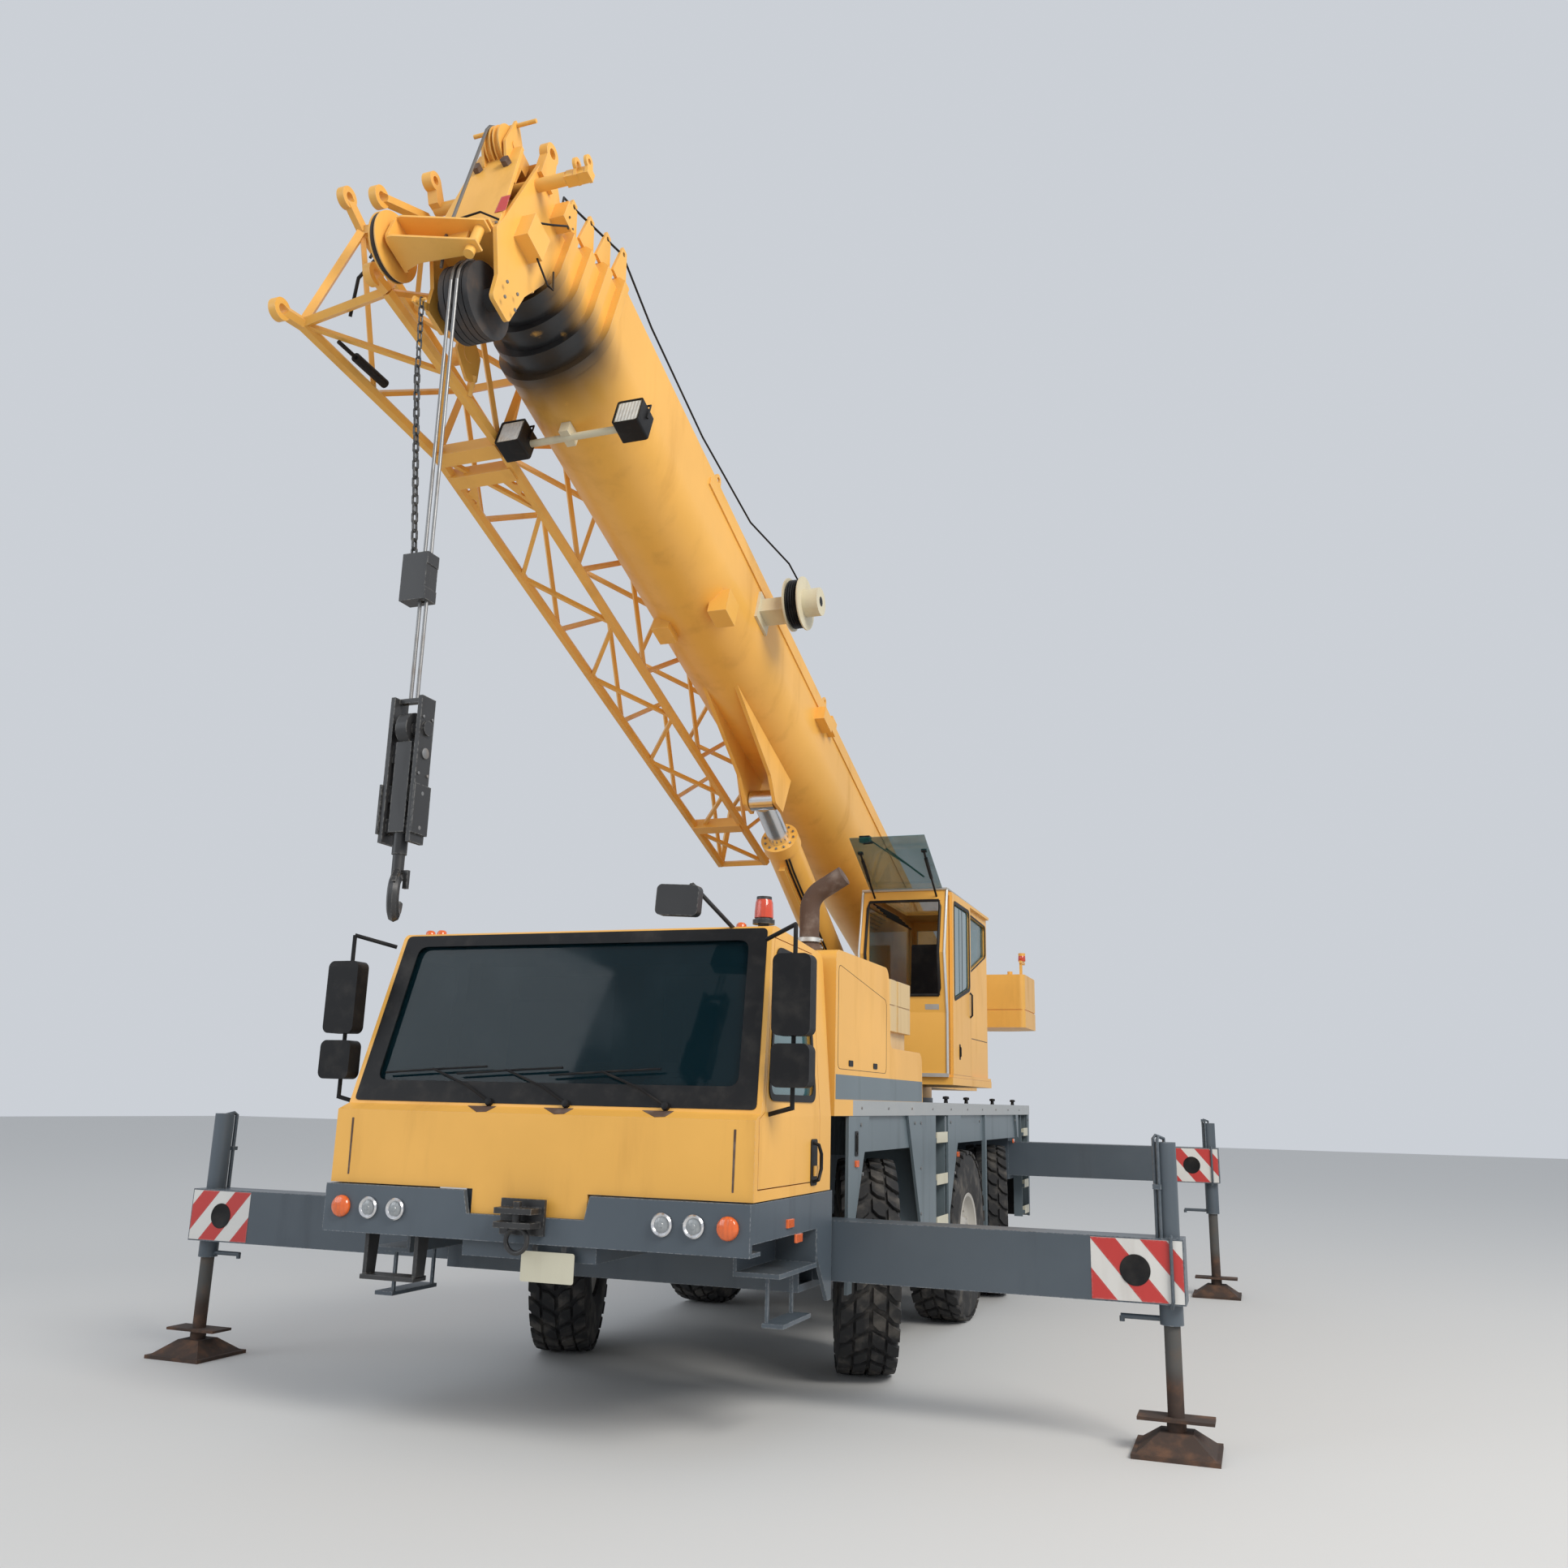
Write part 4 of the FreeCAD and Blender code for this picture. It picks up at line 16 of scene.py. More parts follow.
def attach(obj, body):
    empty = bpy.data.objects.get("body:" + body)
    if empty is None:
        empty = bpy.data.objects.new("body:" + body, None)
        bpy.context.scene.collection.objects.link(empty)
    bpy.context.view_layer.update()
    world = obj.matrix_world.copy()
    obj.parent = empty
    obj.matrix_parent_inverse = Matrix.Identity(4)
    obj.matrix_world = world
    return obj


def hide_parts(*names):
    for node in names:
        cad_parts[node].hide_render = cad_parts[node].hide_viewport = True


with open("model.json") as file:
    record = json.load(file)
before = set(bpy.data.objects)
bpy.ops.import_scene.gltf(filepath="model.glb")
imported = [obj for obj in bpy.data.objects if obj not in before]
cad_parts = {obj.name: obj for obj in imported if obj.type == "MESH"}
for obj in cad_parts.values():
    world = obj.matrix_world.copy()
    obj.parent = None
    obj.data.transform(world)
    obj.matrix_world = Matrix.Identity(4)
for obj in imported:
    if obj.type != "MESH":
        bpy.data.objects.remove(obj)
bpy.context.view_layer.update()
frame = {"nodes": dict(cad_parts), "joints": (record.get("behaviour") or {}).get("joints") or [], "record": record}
nodes = frame["nodes"]

# %% [markdown]
# ## Camera
# The photograph was taken close to the vehicle's left front corner, from low down and
# looking up at the boom. Its direction is given by a heading, a tilt and a small roll.

# %% Camera
BUMPER_Y = -4.0
PHOTO_SIZE = 1932
FOCAL_PIXELS = 1586.72
SENSOR = 36.0
CAMERA_SPOT = Vector((3.6541, BUMPER_Y - 6.1788, 1.7305))
heading, tilt, roll = 0.3518, 0.2418, 0.0236
ahead = Vector((-math.sin(heading) * math.cos(tilt), math.cos(heading) * math.cos(tilt), math.sin(tilt)))
level = Vector((math.cos(heading), math.sin(heading), 0))
above = level.cross(ahead)
camera_x = level * math.cos(roll) + above * math.sin(roll)
camera_y = above * math.cos(roll) - level * math.sin(roll)
camera_data = bpy.data.cameras.new("photo_camera")
camera_data.sensor_width = SENSOR
camera_data.lens = FOCAL_PIXELS / PHOTO_SIZE * SENSOR
camera = bpy.data.objects.new("photo_camera", camera_data)
bpy.context.scene.collection.objects.link(camera)
turn = Matrix((camera_x, camera_y, -ahead)).transposed().to_4x4()
camera.matrix_world = Matrix.Translation(CAMERA_SPOT) @ turn
bpy.context.scene.camera = camera
print("lens", round(camera_data.lens, 2), "mm")

# %% [markdown]
# ## Writing shaders as sums
# A shader is a graph, but most of it is arithmetic on masks. `Wire` wraps a socket so
# that `1 - mask` or `grain * 0.2` adds the Math nodes.

# %% Wire


class Wire:
    """A value that flows from one node's socket; its operators add Math nodes."""

    def __init__(self, finish, socket):
        self.finish = finish
        self.socket = socket

    def math(self, operation, *values):
        return self.finish.node("ShaderNodeMath", values, operation=operation)

    def __add__(self, other):
        return self.math("ADD", self, other)

    __radd__ = __add__

    def __sub__(self, other):
        return self.math("SUBTRACT", self, other)

    def __rsub__(self, other):
        return self.math("SUBTRACT", other, self)

    def __mul__(self, other):
        return self.math("MULTIPLY", self, other)

    __rmul__ = __mul__

    def wave(self):
        return self.math("SINE", self)

    def rise(self, low, high):
        """0 below low, 1 above high and a soft step between."""
        return self.finish.node("ShaderNodeMapRange", {"Value": self, "From Min": low, "From Max": high},
                                interpolation_type="SMOOTHSTEP")


print("wires add up")

# %% [markdown]
# ## A material and its nodes
# `Finish.node` adds any node and gives back its output as a wire. The masks below it are
# the ones that every finish draws on: place, direction, noise and the solid's own edges.

# %% Finish


class Finish:
    """A material: a Principled shader and the nodes that vary it over the surface."""

    def __init__(self, name, colour, roughness=0.5, metallic=0.0, **sockets):
        self.material = bpy.data.materials.new(name)
        self.material.use_nodes = True
        self.tree = self.material.node_tree
        self.shader = self.tree.nodes["Principled BSDF"]
        self.colour = colour
        self.feed("Base Color", colour)
        self.feed("Roughness", roughness)
        self.feed("Metallic", metallic)
        for socket, value in sockets.items():
            self.feed(socket.replace("_", " ").title().replace("Ior", "IOR"), value)

    def feed(self, socket, value):
        """Set the shader's socket to a number or colour, or link a wire to it."""
        target = self.shader.inputs[socket] if isinstance(socket, str) else socket
        if isinstance(value, Wire):
            self.tree.links.new(value.socket, target)
        elif hasattr(target.default_value, "__len__") and len(target.default_value) == 4:
            target.default_value = (*value[:3], 1)
        else:
            target.default_value = value

    def node(self, kind, values=(), output=0, stops=(), **settings):
        made = self.tree.nodes.new(kind)
        for name, value in settings.items():
            setattr(made, name, value)
        if stops:
            ramp = made.color_ramp
            while len(ramp.elements) < len(stops):
                ramp.elements.new(0.5)
            for element, (place, colour) in zip(ramp.elements, stops):
                element.position = place
                element.color = (*colour, 1)
        pairs = values.items() if isinstance(values, dict) else enumerate(values)
        for key, value in pairs:
            self.feed(made.inputs[key], value)
        return Wire(self, made.outputs[output])

    def place(self, stretch=(1, 1, 1)):
        """The crane's own coordinates in metres, stretched along its axes."""
        spot = self.node("ShaderNodeTexCoord", output="Object")
        return self.node("ShaderNodeMapping", {"Vector": spot, "Scale": stretch})

    def along(self, axis):
        spot = self.node("ShaderNodeTexCoord", output="Object")
        return self.node("ShaderNodeSeparateXYZ", [spot], output="XYZ".index(axis))

    def facing(self, axis):
        """How far the surface faces along an axis, from -1 to 1."""
        normal = self.node("ShaderNodeNewGeometry", output="Normal")
        return self.node("ShaderNodeSeparateXYZ", [normal], output="XYZ".index(axis))

    def noise(self, scale, detail=3.0, stretch=(1, 1, 1), rough=0.55):
        return self.node("ShaderNodeTexNoise", {"Vector": self.place(stretch), "Scale": scale,
                                                "Detail": detail, "Roughness": rough})

    def mix(self, mask, first, second):
        return self.node("ShaderNodeMix", {0: mask, 6: first, 7: second}, output=2, data_type="RGBA")

    def bump(self, height, distance=0.002, strength=0.6):
        self.feed("Normal", self.node("ShaderNodeBump", {"Height": height, "Distance": distance,
                                                         "Strength": strength}))

    def edges(self, width=0.012):
        """1 along the corners of the solid, by comparing the true normal with a rounded one."""
        rounded = self.node("ShaderNodeBevel", {"Radius": width}, samples=6)
        normal = self.node("ShaderNodeNewGeometry", output="Normal")
        same = self.node("ShaderNodeVectorMath", [rounded, normal], output="Value", operation="DOT_PRODUCT")
        return (1 - same).rise(0.03, 0.25)


def darker(colour, by):
    return tuple(channel * by for channel in colour[:3])


print("shader helpers ready")

# %% [markdown]
# ## Weathered paint
# The crane is painted amber yellow, pale where the sun has bleached it and brown where
# dust has run down with the rain. Three masks do that: slow clouds for fading, noise
# stretched downwards for runs, and rounded edges where the paint is rubbed. The boom adds
# a fourth: the black grease that the sliding sections press out of their collars. The
# grease follows the boom's own line, so its place comes from two sums of Y and Z.

# %% Paints
BOOM_FOOT = Vector((0, 3.90, 2.68))
BOOM_ANGLE = math.radians(20)
RISE, RUN = math.sin(BOOM_ANGLE), math.cos(BOOM_ANGLE)


def boom_lines(finish):
    """How far a point lies along the boom from its foot pin, and how far above the pin's line."""
    y, z = finish.along("Y") - BOOM_FOOT.y, finish.along("Z") - BOOM_FOOT.z
    return z * RISE - y * RUN, y * RISE + z * RUN


def paint(name, colour, dirt=0.35, wear=0.25, worn=(0.55, 0.53, 0.50), roughness=0.42, coat=0.25, grease=0.0):
    finish = Finish(name, colour, roughness, coat_weight=coat, coat_roughness=0.25)
    clouds = finish.noise(1.1, 4)
    runs = finish.noise(5, 5, (1, 1, 0.16))
    specks = finish.noise(60, 2)
    faded = finish.mix(clouds.rise(0.35, 0.75) * 0.5, colour, tuple(min(1, c * 1.18 + 0.02) for c in colour))
    dust_tint = tuple(c * k for c, k in zip(colour, (0.60, 0.52, 0.50)))
    dusty = finish.mix(runs.rise(0.50, 0.80) * dirt, faded, dust_tint)
    coated = finish.mix(finish.edges() * specks.rise(0.38, 0.62) * wear, dusty, worn)
    shine = roughness + clouds * 0.15 + runs.rise(0.5, 0.8) * 0.2
    if grease:
        run, height = boom_lines(finish)
        here = run.rise(8.45, 8.95) * (1 - run.rise(9.30, 9.42)) * (1 - height.rise(0.16, 0.5))
        smear = here * finish.noise(5, 5).rise(0.16, 0.36) * grease
        coated = finish.mix(smear, coated, (0.008, 0.008, 0.009))
        shine = shine - smear * 0.15
    finish.feed("Base Color", coated)
    finish.feed("Roughness", shine)
    finish.bump(finish.noise(220, 2) * 0.5 + specks * 0.5, 0.0006, 0.25)
    return finish


AMBER = (0.80, 0.42, 0.075)
FINISHES = {
    "yellow_paint": paint("amber_yellow_paint", AMBER),
    "panel_paint": paint("blue_grey_panel_paint", (0.115, 0.15, 0.17), worn=(0.34, 0.36, 0.37)),
    "grey_paint": paint("dark_blue_grey_paint", (0.065, 0.085, 0.105), wear=0.7, worn=(0.36, 0.37, 0.38)),
    "black_paint": paint("black_paint", (0.02, 0.02, 0.021), wear=0.7, worn=(0.24, 0.23, 0.21)),
    "cream_paint": paint("cream_paint", (0.60, 0.54, 0.38), wear=0.5, dirt=0.5),
}
GREASED = paint("greased_boom_paint", AMBER, grease=1.0)
RIM_PAINT = paint("pale_rim_paint", (0.42, 0.40, 0.36), dirt=0.6, worn=(0.20, 0.12, 0.07))
RED_STRIPE = paint("red_stripe_paint", (0.50, 0.03, 0.025), dirt=0.2, wear=0.4)
WHITE_STRIPE = paint("white_stripe_paint", (0.66, 0.65, 0.62), dirt=0.4, wear=0.4, worn=(0.3, 0.3, 0.3))
PLATE_PAINT = paint("bare_plate_paint", (0.58, 0.55, 0.42), dirt=0.3)
print(len(FINISHES) + 5, "paints")

# %% [markdown]
# ## Bare metals, rubber, glass and plastic
# Each of these has its own grain: rolled aluminium is streaky, rust is blotchy and
# rough, tyre rubber is dull with pale dust, and the cab glass is tinted teal. Tread plate
# is steel with short raised bars that cross: two slanted waves, each kept only in every
# other square of a chequer, give the same relief without a single extra face.

# %% Other finishes


def metal(name, colour, roughness=0.35, grain=(1, 1, 1), blotch=0.2, stain=(0.2, 0.13, 0.08)):
    finish = Finish(name, colour, roughness, metallic=1.0)
    grain_mask = finish.noise(40, 3, grain)
    stains = finish.noise(4, 5).rise(0.5, 0.7)
    finish.feed("Base Color", finish.mix(stains * blotch, colour, stain))
    finish.feed("Roughness", roughness + grain_mask * 0.2 + stains * blotch * 0.4)
    finish.feed("Metallic", 1 - stains * blotch)
    finish.bump(grain_mask, 0.0005, 0.3)
    return finish


def dull(name, colour, roughness=0.8, dust=(0.35, 0.31, 0.26), dust_amount=0.3, grain=90):
    finish = Finish(name, colour, roughness)
    settled = finish.noise(7, 5).rise(0.45, 0.75) * dust_amount
    finish.feed("Base Color", finish.mix(settled, colour, dust))
    finish.feed("Roughness", roughness + settled * 0.15)
    finish.bump(finish.noise(grain, 3), 0.001, 0.35)
    return finish


def tread_plate(name, colour, pitch=0.055):
    finish = dull(name, colour, 0.55, dust_amount=0.35)
    x, y = finish.along("X"), finish.along("Y")
    turn = 2 * math.pi / pitch
    chequer = ((x * (turn / 2)).wave() * (y * (turn / 2)).wave()).rise(-0.05, 0.05)
    bars = (((x + y) * turn).wave().rise(0.3, 0.8) * chequer
            + ((x - y) * turn).wave().rise(0.3, 0.8) * (1 - chequer))
    finish.feed("Base Color", finish.mix(bars * 0.35, colour, tuple(c * 1.7 for c in colour)))
    finish.bump(bars + finish.noise(90, 2) * 0.2, 0.003, 0.7)
    return finish


def lens(name, colour, ribs=0.0):
    """Moulded lamp plastic: clear lacquer over a colour, with fine upright ribs inside."""
    finish = Finish(name, colour, 0.12, coat_weight=1.0, coat_roughness=0.05)
    dirt = finish.noise(30, 3).rise(0.4, 0.75)
    finish.feed("Base Color", finish.mix(dirt * 0.35, colour, darker(colour, 0.5)))
    finish.feed("Roughness", 0.12 + dirt * 0.25)
    if ribs:
        finish.bump((finish.along("X") * ribs).wave(), 0.002, 0.5)
    return finish


def window(name, colour, clear, shine=0.5):
    """Tinted glass: partly see-through, with a faint film of dust in patches."""
    finish = Finish(name, colour, 0.04, specular_ior_level=shine, coat_weight=shine, coat_roughness=0.03)
    film = finish.noise(3, 5).rise(0.45, 0.8)
    finish.feed("Alpha", 1 - clear + film * 0.12)
    finish.feed("Roughness", 0.04 + film * 0.12)
    finish.feed("Base Color", finish.mix(film * 0.3, colour, tuple(c + 0.06 * shine for c in colour)))
    return finish


print("makers of metal, dull, plate, lens and window finishes ready")

# %% [markdown]
# ## The table of finishes
# One line per finish: its colour in linear light, its roughness and how dirty it is. The
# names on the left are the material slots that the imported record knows.

# %% Table of finishes
FINISHES |= {
    "aluminium": metal("aluminium", (0.60, 0.61, 0.60), 0.42, (1, 0.05, 1), 0.12, (0.35, 0.34, 0.32)),
    "tyre": dull("tyre_rubber", (0.022, 0.022, 0.023), 0.82, dust_amount=0.3),
    "lamp": lens("clear_lamp_glass", (0.62, 0.62, 0.58), 300),
    "trim": dull("black_trim", (0.008, 0.008, 0.009), 0.5, dust_amount=0.05),
    "seat_cloth": dull("seat_cloth", (0.03, 0.03, 0.034), 0.9, dust_amount=0.1, grain=400),
    "glass": window("teal_glass", (0.012, 0.13, 0.14), 0.45),
    "rod_chrome": metal("rod_chrome", (0.75, 0.75, 0.76), 0.12, (1, 1, 1), 0.06),
    "rusty_steel": dull("rusty_steel", (0.095, 0.055, 0.038), 0.8, (0.24, 0.19, 0.16), 0.9, 60),
    "steel": metal("worn_steel", (0.30, 0.30, 0.30), 0.4, (1, 1, 1), 0.4),
    "iron": dull("cast_iron", (0.035, 0.035, 0.037), 0.7, (0.14, 0.09, 0.06), 0.4, 50),
}
FINISHES["trim"].feed("Specular IOR Level", 0.25)
SCREEN_GLASS = window("dark_screen_glass", (0.004, 0.016, 0.022), 0.22, 0.16)
DOOR_GLASS = window("door_glass", (0.050, 0.125, 0.140), 0.0)
DECK_PLATE = tread_plate("deck_tread_plate", (0.13, 0.155, 0.17))
ORANGE_LENS = lens("orange_lens", (0.78, 0.13, 0.012), 260)
BEACON_LENS = lens("beacon_lens", (0.62, 0.055, 0.012), 260)
HEAD_LENS = lens("head_lamp_glass", (0.30, 0.32, 0.33), 300)
RED_LENS = lens("red_lens", (0.50, 0.02, 0.015), 260)
MIRROR = metal("mirror_glass", (0.80, 0.82, 0.83), 0.03, blotch=0.04)
ROPE = metal("wire_rope", (0.22, 0.21, 0.20), 0.45, (1, 1, 6), 0.5)
GREY_INSIDE = dull("grey_cab_lining", (0.10, 0.10, 0.105), 0.7, dust_amount=0.1)
WORN_PAD = dull("rusty_pad_steel", (0.055, 0.036, 0.028), 0.85, grain=40)
rust, tube = WORN_PAD.noise(7, 5).rise(0.45, 0.75), WORN_PAD.along("Z").rise(0.30, 0.45)
pad_brown = WORN_PAD.mix(rust * 0.9, (0.055, 0.036, 0.028), (0.16, 0.08, 0.045))
tube_grey = WORN_PAD.mix(rust * 0.4, (0.085, 0.084, 0.080), (0.14, 0.09, 0.06))
WORN_PAD.feed("Base Color", WORN_PAD.mix(tube, pad_brown, tube_grey))
TAN_PAINT = paint("tan_ballast_paint", (0.66, 0.46, 0.20), dirt=0.5)
print(len(FINISHES), "finishes by slot")

# %% [markdown]
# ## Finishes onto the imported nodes
# Each node gets the finish of its slot, except the few that the photograph shows otherwise.

# %% Finishes onto nodes
NODE_FINISHES = {
    "deck": DECK_PLATE, "deck_ballast": TAN_PAINT, "ladders": FINISHES["panel_paint"],
    "head_sheaves": FINISHES["iron"], "cab_glass": SCREEN_GLASS, "cab_interior": GREY_INSIDE,
    "boom_base": GREASED, "boom_stage_one": GREASED, "boom_stage_two": GREASED,
    "boom_stage_three": GREASED, "boom_head": GREASED,
}
for end in ("front", "rear"):
    for side in ("left", "right"):
        NODE_FINISHES[f"leg_{end}_{side}"] = WORN_PAD
slots = {entry["node"]: entry["material_slot"] for entry in frame["record"]["subparts"]}
for name, node in nodes.items():
    node.data.materials.clear()
    node.data.materials.append(NODE_FINISHES.get(name, FINISHES[slots[name]]).material)
print(len(FINISHES), "finishes on", len(slots), "nodes")

# %% [markdown]
# ## A small workshop
# Almost every fitting on a crane is a bent plate, a tube or something turned on a lathe.
# `Form` builds those three as rings of points joined by quads, so a piece made from ten
# parts is still one mesh with closed skins. `done` rounds its edges and hangs it on a body.

# %% Form


def full_turn(sides):
    """The angles of a full turn in equal steps."""
    return [2 * math.pi * i / sides for i in range(sides)]


class Form:
    """One piece's mesh, built up from extruded outlines, tubes and turned profiles."""

    def __init__(self):
        self.mesh = bmesh.new()

    def skin(self, loops, closed=False):
        rings = [[self.mesh.verts.new(point) for point in loop] for loop in loops]
        count = len(rings[0])
        for first, second in zip(rings, rings[1:] + rings[:1] if closed else rings[1:]):
            for k in range(count):
                n = (k + 1) % count
                self.mesh.faces.new((first[k], first[n], second[n], second[k]))
        if not closed:
            self.mesh.faces.new(rings[0][::-1])
            self.mesh.faces.new(rings[-1])
        return self

    def slab(self, outline, thick):
        """A flat outline pushed out along a vector."""
        return self.skin([outline, [point + thick for point in outline]])

    def frame(self, outer, inner, thick):
        """A flat frame between two outlines that have as many points as each other."""
        return self.skin([outer, inner, [p + thick for p in inner], [p + thick for p in outer]], closed=True)

    def box(self, low, high):
        (x0, y0, z0), (x1, y1, z1) = low, high
        return self.slab([Vector(p) for p in ((x0, y0, z0), (x1, y0, z0), (x1, y1, z0), (x0, y1, z0))],
                         Vector((0, 0, z1 - z0)))

    def tube(self, points, radius, sides=10, closed=False):
        points = [Vector(point) for point in points]
        count, loops = len(points), []
        for k, point in enumerate(points):
            before = points[(k - 1) % count] if closed or k else point
            after = points[(k + 1) % count] if closed or k + 1 < count else point
            ahead_here = (after - before).normalized()
            if loops:
                across = (across - ahead_here * across.dot(ahead_here)).normalized()
            else:
                across = ahead_here.orthogonal().normalized()
            other = ahead_here.cross(across)
            loops.append([point + (across * math.cos(t) + other * math.sin(t)) * radius
                          for t in full_turn(sides)])
        return self.skin(loops, closed)

    def turned(self, profile, origin, axis, sides=24):
        """Pairs of (distance along the axis, radius) turned about the axis."""
        basis = Vector(axis).to_track_quat("Z", "Y").to_matrix()
        return self.skin([[Vector(origin) + basis @ Vector((r * math.cos(t), r * math.sin(t), d))
                           for t in full_turn(sides)] for d, r in profile])

    def bolts(self, centres, axis, radius=0.012, high=0.008):
        for centre in centres:
            self.turned([(-0.001, radius), (high, radius), (high + 0.001, radius * 0.7)], centre, axis, 6)
        return self

    def done(self, name, body, slot, finish, bevel=0.0, place=None):
        bmesh.ops.recalc_face_normals(self.mesh, faces=self.mesh.faces)
        for face in self.mesh.faces:
            face.smooth = True
        for edge in self.mesh.edges:
            edge.smooth = len(edge.link_faces) == 2 and edge.calc_face_angle(0) < 0.7
        data = bpy.data.meshes.new(name)
        self.mesh.to_mesh(data)
        data.materials.append(finish.material)
        piece = bpy.data.objects.new(name, data)
        bpy.context.scene.collection.objects.link(piece)
        if place:
            piece.matrix_world = place
        if bevel:
            rounding = piece.modifiers.new("rounded_edges", "BEVEL")
            rounding.width, rounding.segments, rounding.limit_method = bevel, 2, "ANGLE"
        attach(piece, body)
        return piece


def rounded(corners, radius, steps=4):
    """The corners of an outline, each replaced by a short arc."""
    points = []
    for k, corner in enumerate(corners):
        before, after = corners[k - 1] - corner, corners[(k + 1) % len(corners)] - corner
        start = corner + before.normalized() * radius
        end = corner + after.normalized() * radius
        for i in range(steps + 1):
            t = i / steps
            points.append(start * (1 - t) ** 2 + corner * (2 * t * (1 - t)) + end * t ** 2)
    return points


def at_boom(x, run, height):
    """A point of the boom: sideways, along from the foot pin, and above the pin's line."""
    return BOOM_FOOT + Vector((x, height * RISE - run * RUN, run * RISE + height * RUN))


ALONG_BOOM = at_boom(0, 1, 0) - BOOM_FOOT
print("workshop open")

# %% [markdown]
# ## Outlines
# Most fittings are cut from sheet, so their corners lie in one plane. Three short helpers
# list such corners: as an oblong, as pairs of X and Z that face the front, and as pairs of
# Y and Z on a side. Directions have names too, so that a thickness reads as a way to go.

# %% Outlines and directions
TO_LEFT, TO_REAR, UP = Vector((1, 0, 0)), Vector((0, 1, 0)), Vector((0, 0, 1))
TO_FRONT = Vector((0, -1, 0))
SIDES = (("left", 1), ("right", -1))


def oblong(a0, a1, b0, b1):
    """The corners of an oblong, from its limits in two directions."""
    return (a0, b0), (a1, b0), (a1, b1), (a0, b1)


def facing_front(y, corners):
    return [Vector((x, y, z)) for x, z in corners]


def facing_side(x, corners):
    return [Vector((x, y, z)) for y, z in corners]


print("outlines from", len(oblong(0, 1, 0, 1)), "corners")

# %% [markdown]
# ## A tyre
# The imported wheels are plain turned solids, which is right for rolling but not for looking.
# A heavy crane tyre has four rows of slanted tread blocks, which overlap its shoulders. The
# carcass is a closed ring of one profile, and each block is three stacked outlines that
# shrink outwards, so its flanks slope as moulded rubber does.

# %% Tyre
TYRE_RADIUS, TREAD_FLOOR, TREAD_EDGE = 0.684, 0.650, 0.676
BLOCKS, CARCASS_SIDES = 30, 60
BLOCK_SHARE, BLOCK_TIP = 0.66, 0.78
# Rows of blocks: inner and outer edge along the axle, slant and start as shares of the pitch
ROWS = ((0.108, 0.190, 0.45, 0.0), (0.010, 0.096, 0.40, 0.45),
        (-0.096, -0.010, -0.40, 0.95), (-0.190, -0.108, -0.45, 0.5))
# Sidewall: place along the axle and radius, from the bead to the shoulder
SIDEWALL = [(-0.172, 0.330), (-0.190, 0.385), (-0.193, 0.470), (-0.193, 0.500), (-0.1905, 0.505),
            (-0.190, 0.590), (-0.180, 0.640), (-0.155, 0.660)]
BEADS = [(0.150, 0.318), (-0.150, 0.318)]


def around(d, radius, angle):
    """A point of the wheel: its place along the axle, its radius and its angle."""
    return Vector((d, radius * math.cos(angle), radius * math.sin(angle)))


def tyre_form():
    form = Form()
    profile = SIDEWALL + [(-d, r) for d, r in reversed(SIDEWALL)] + BEADS
    form.skin([[around(d, r, t) for d, r in profile] for t in full_turn(CARCASS_SIDES)], closed=True)
    pitch = 2 * math.pi / BLOCKS
    for low, high, slant, start in ROWS:
        corners = [(low, 0), (high, slant), (high, slant + BLOCK_SHARE),
                   ((low + high) / 2, slant / 2 + BLOCK_TIP), (low, BLOCK_SHARE)]
        mid = sum(d for d, _ in corners) / len(corners)
        for k in range(BLOCKS):
            loops = []
            for radius, shrink in ((TREAD_FLOOR, 1.0), (TREAD_EDGE, 0.97), (TYRE_RADIUS, 0.90)):
                loops.append([])
                for d, share in corners:
                    shoulder = 0.010 if abs(d) > 0.18 and radius > TREAD_FLOOR else 0
                    turned_by = k + start + BLOCK_SHARE / 2 + (share - BLOCK_SHARE / 2) * shrink
                    loops[-1].append(around(mid + (d - mid) * shrink, radius - shoulder, pitch * turned_by))
            form.skin(loops)
    return form


print(len(ROWS) * BLOCKS, "tread blocks on a tyre")

# %% [markdown]
# ## A rim
# The rim is a dished steel disc with ten wheel nuts and a hub cover with ten small bolts.
# Its whole section is one profile turned about the axle, because that is how it is pressed.

# %% Rim
RIM_PROFILE = [(-0.150, 0.300), (-0.150, 0.316), (0.160, 0.322), (0.178, 0.334), (0.183, 0.328),
               (0.176, 0.306),
               (0.128, 0.292), (0.112, 0.270), (0.104, 0.235), (0.104, 0.165), (0.112, 0.150), (0.150, 0.128),
               (0.158, 0.110), (0.158, 0.060), (0.150, 0.050), (0.150, 0.001)]
NUTS, NUT_CIRCLE, COVER_CIRCLE = 10, 0.195, 0.085


def rim_form():
    form = Form()
    form.turned(RIM_PROFILE, (0, 0, 0), TO_LEFT, 40)
    form.bolts([around(0.104, NUT_CIRCLE, t) for t in full_turn(NUTS)], TO_LEFT, 0.017, 0.030)
    form.bolts([around(0.156, COVER_CIRCLE, t) for t in full_turn(NUTS)], TO_LEFT, 0.009, 0.010)
    return form


print(len(RIM_PROFILE), "points in the rim's profile")

# %% [markdown]
# ## Six wheels
# The wheel is made about its own axle and laid on each hub. The spin joints say where the
# hubs are and which way they point, so a steered wheel comes out turned like its knuckle.

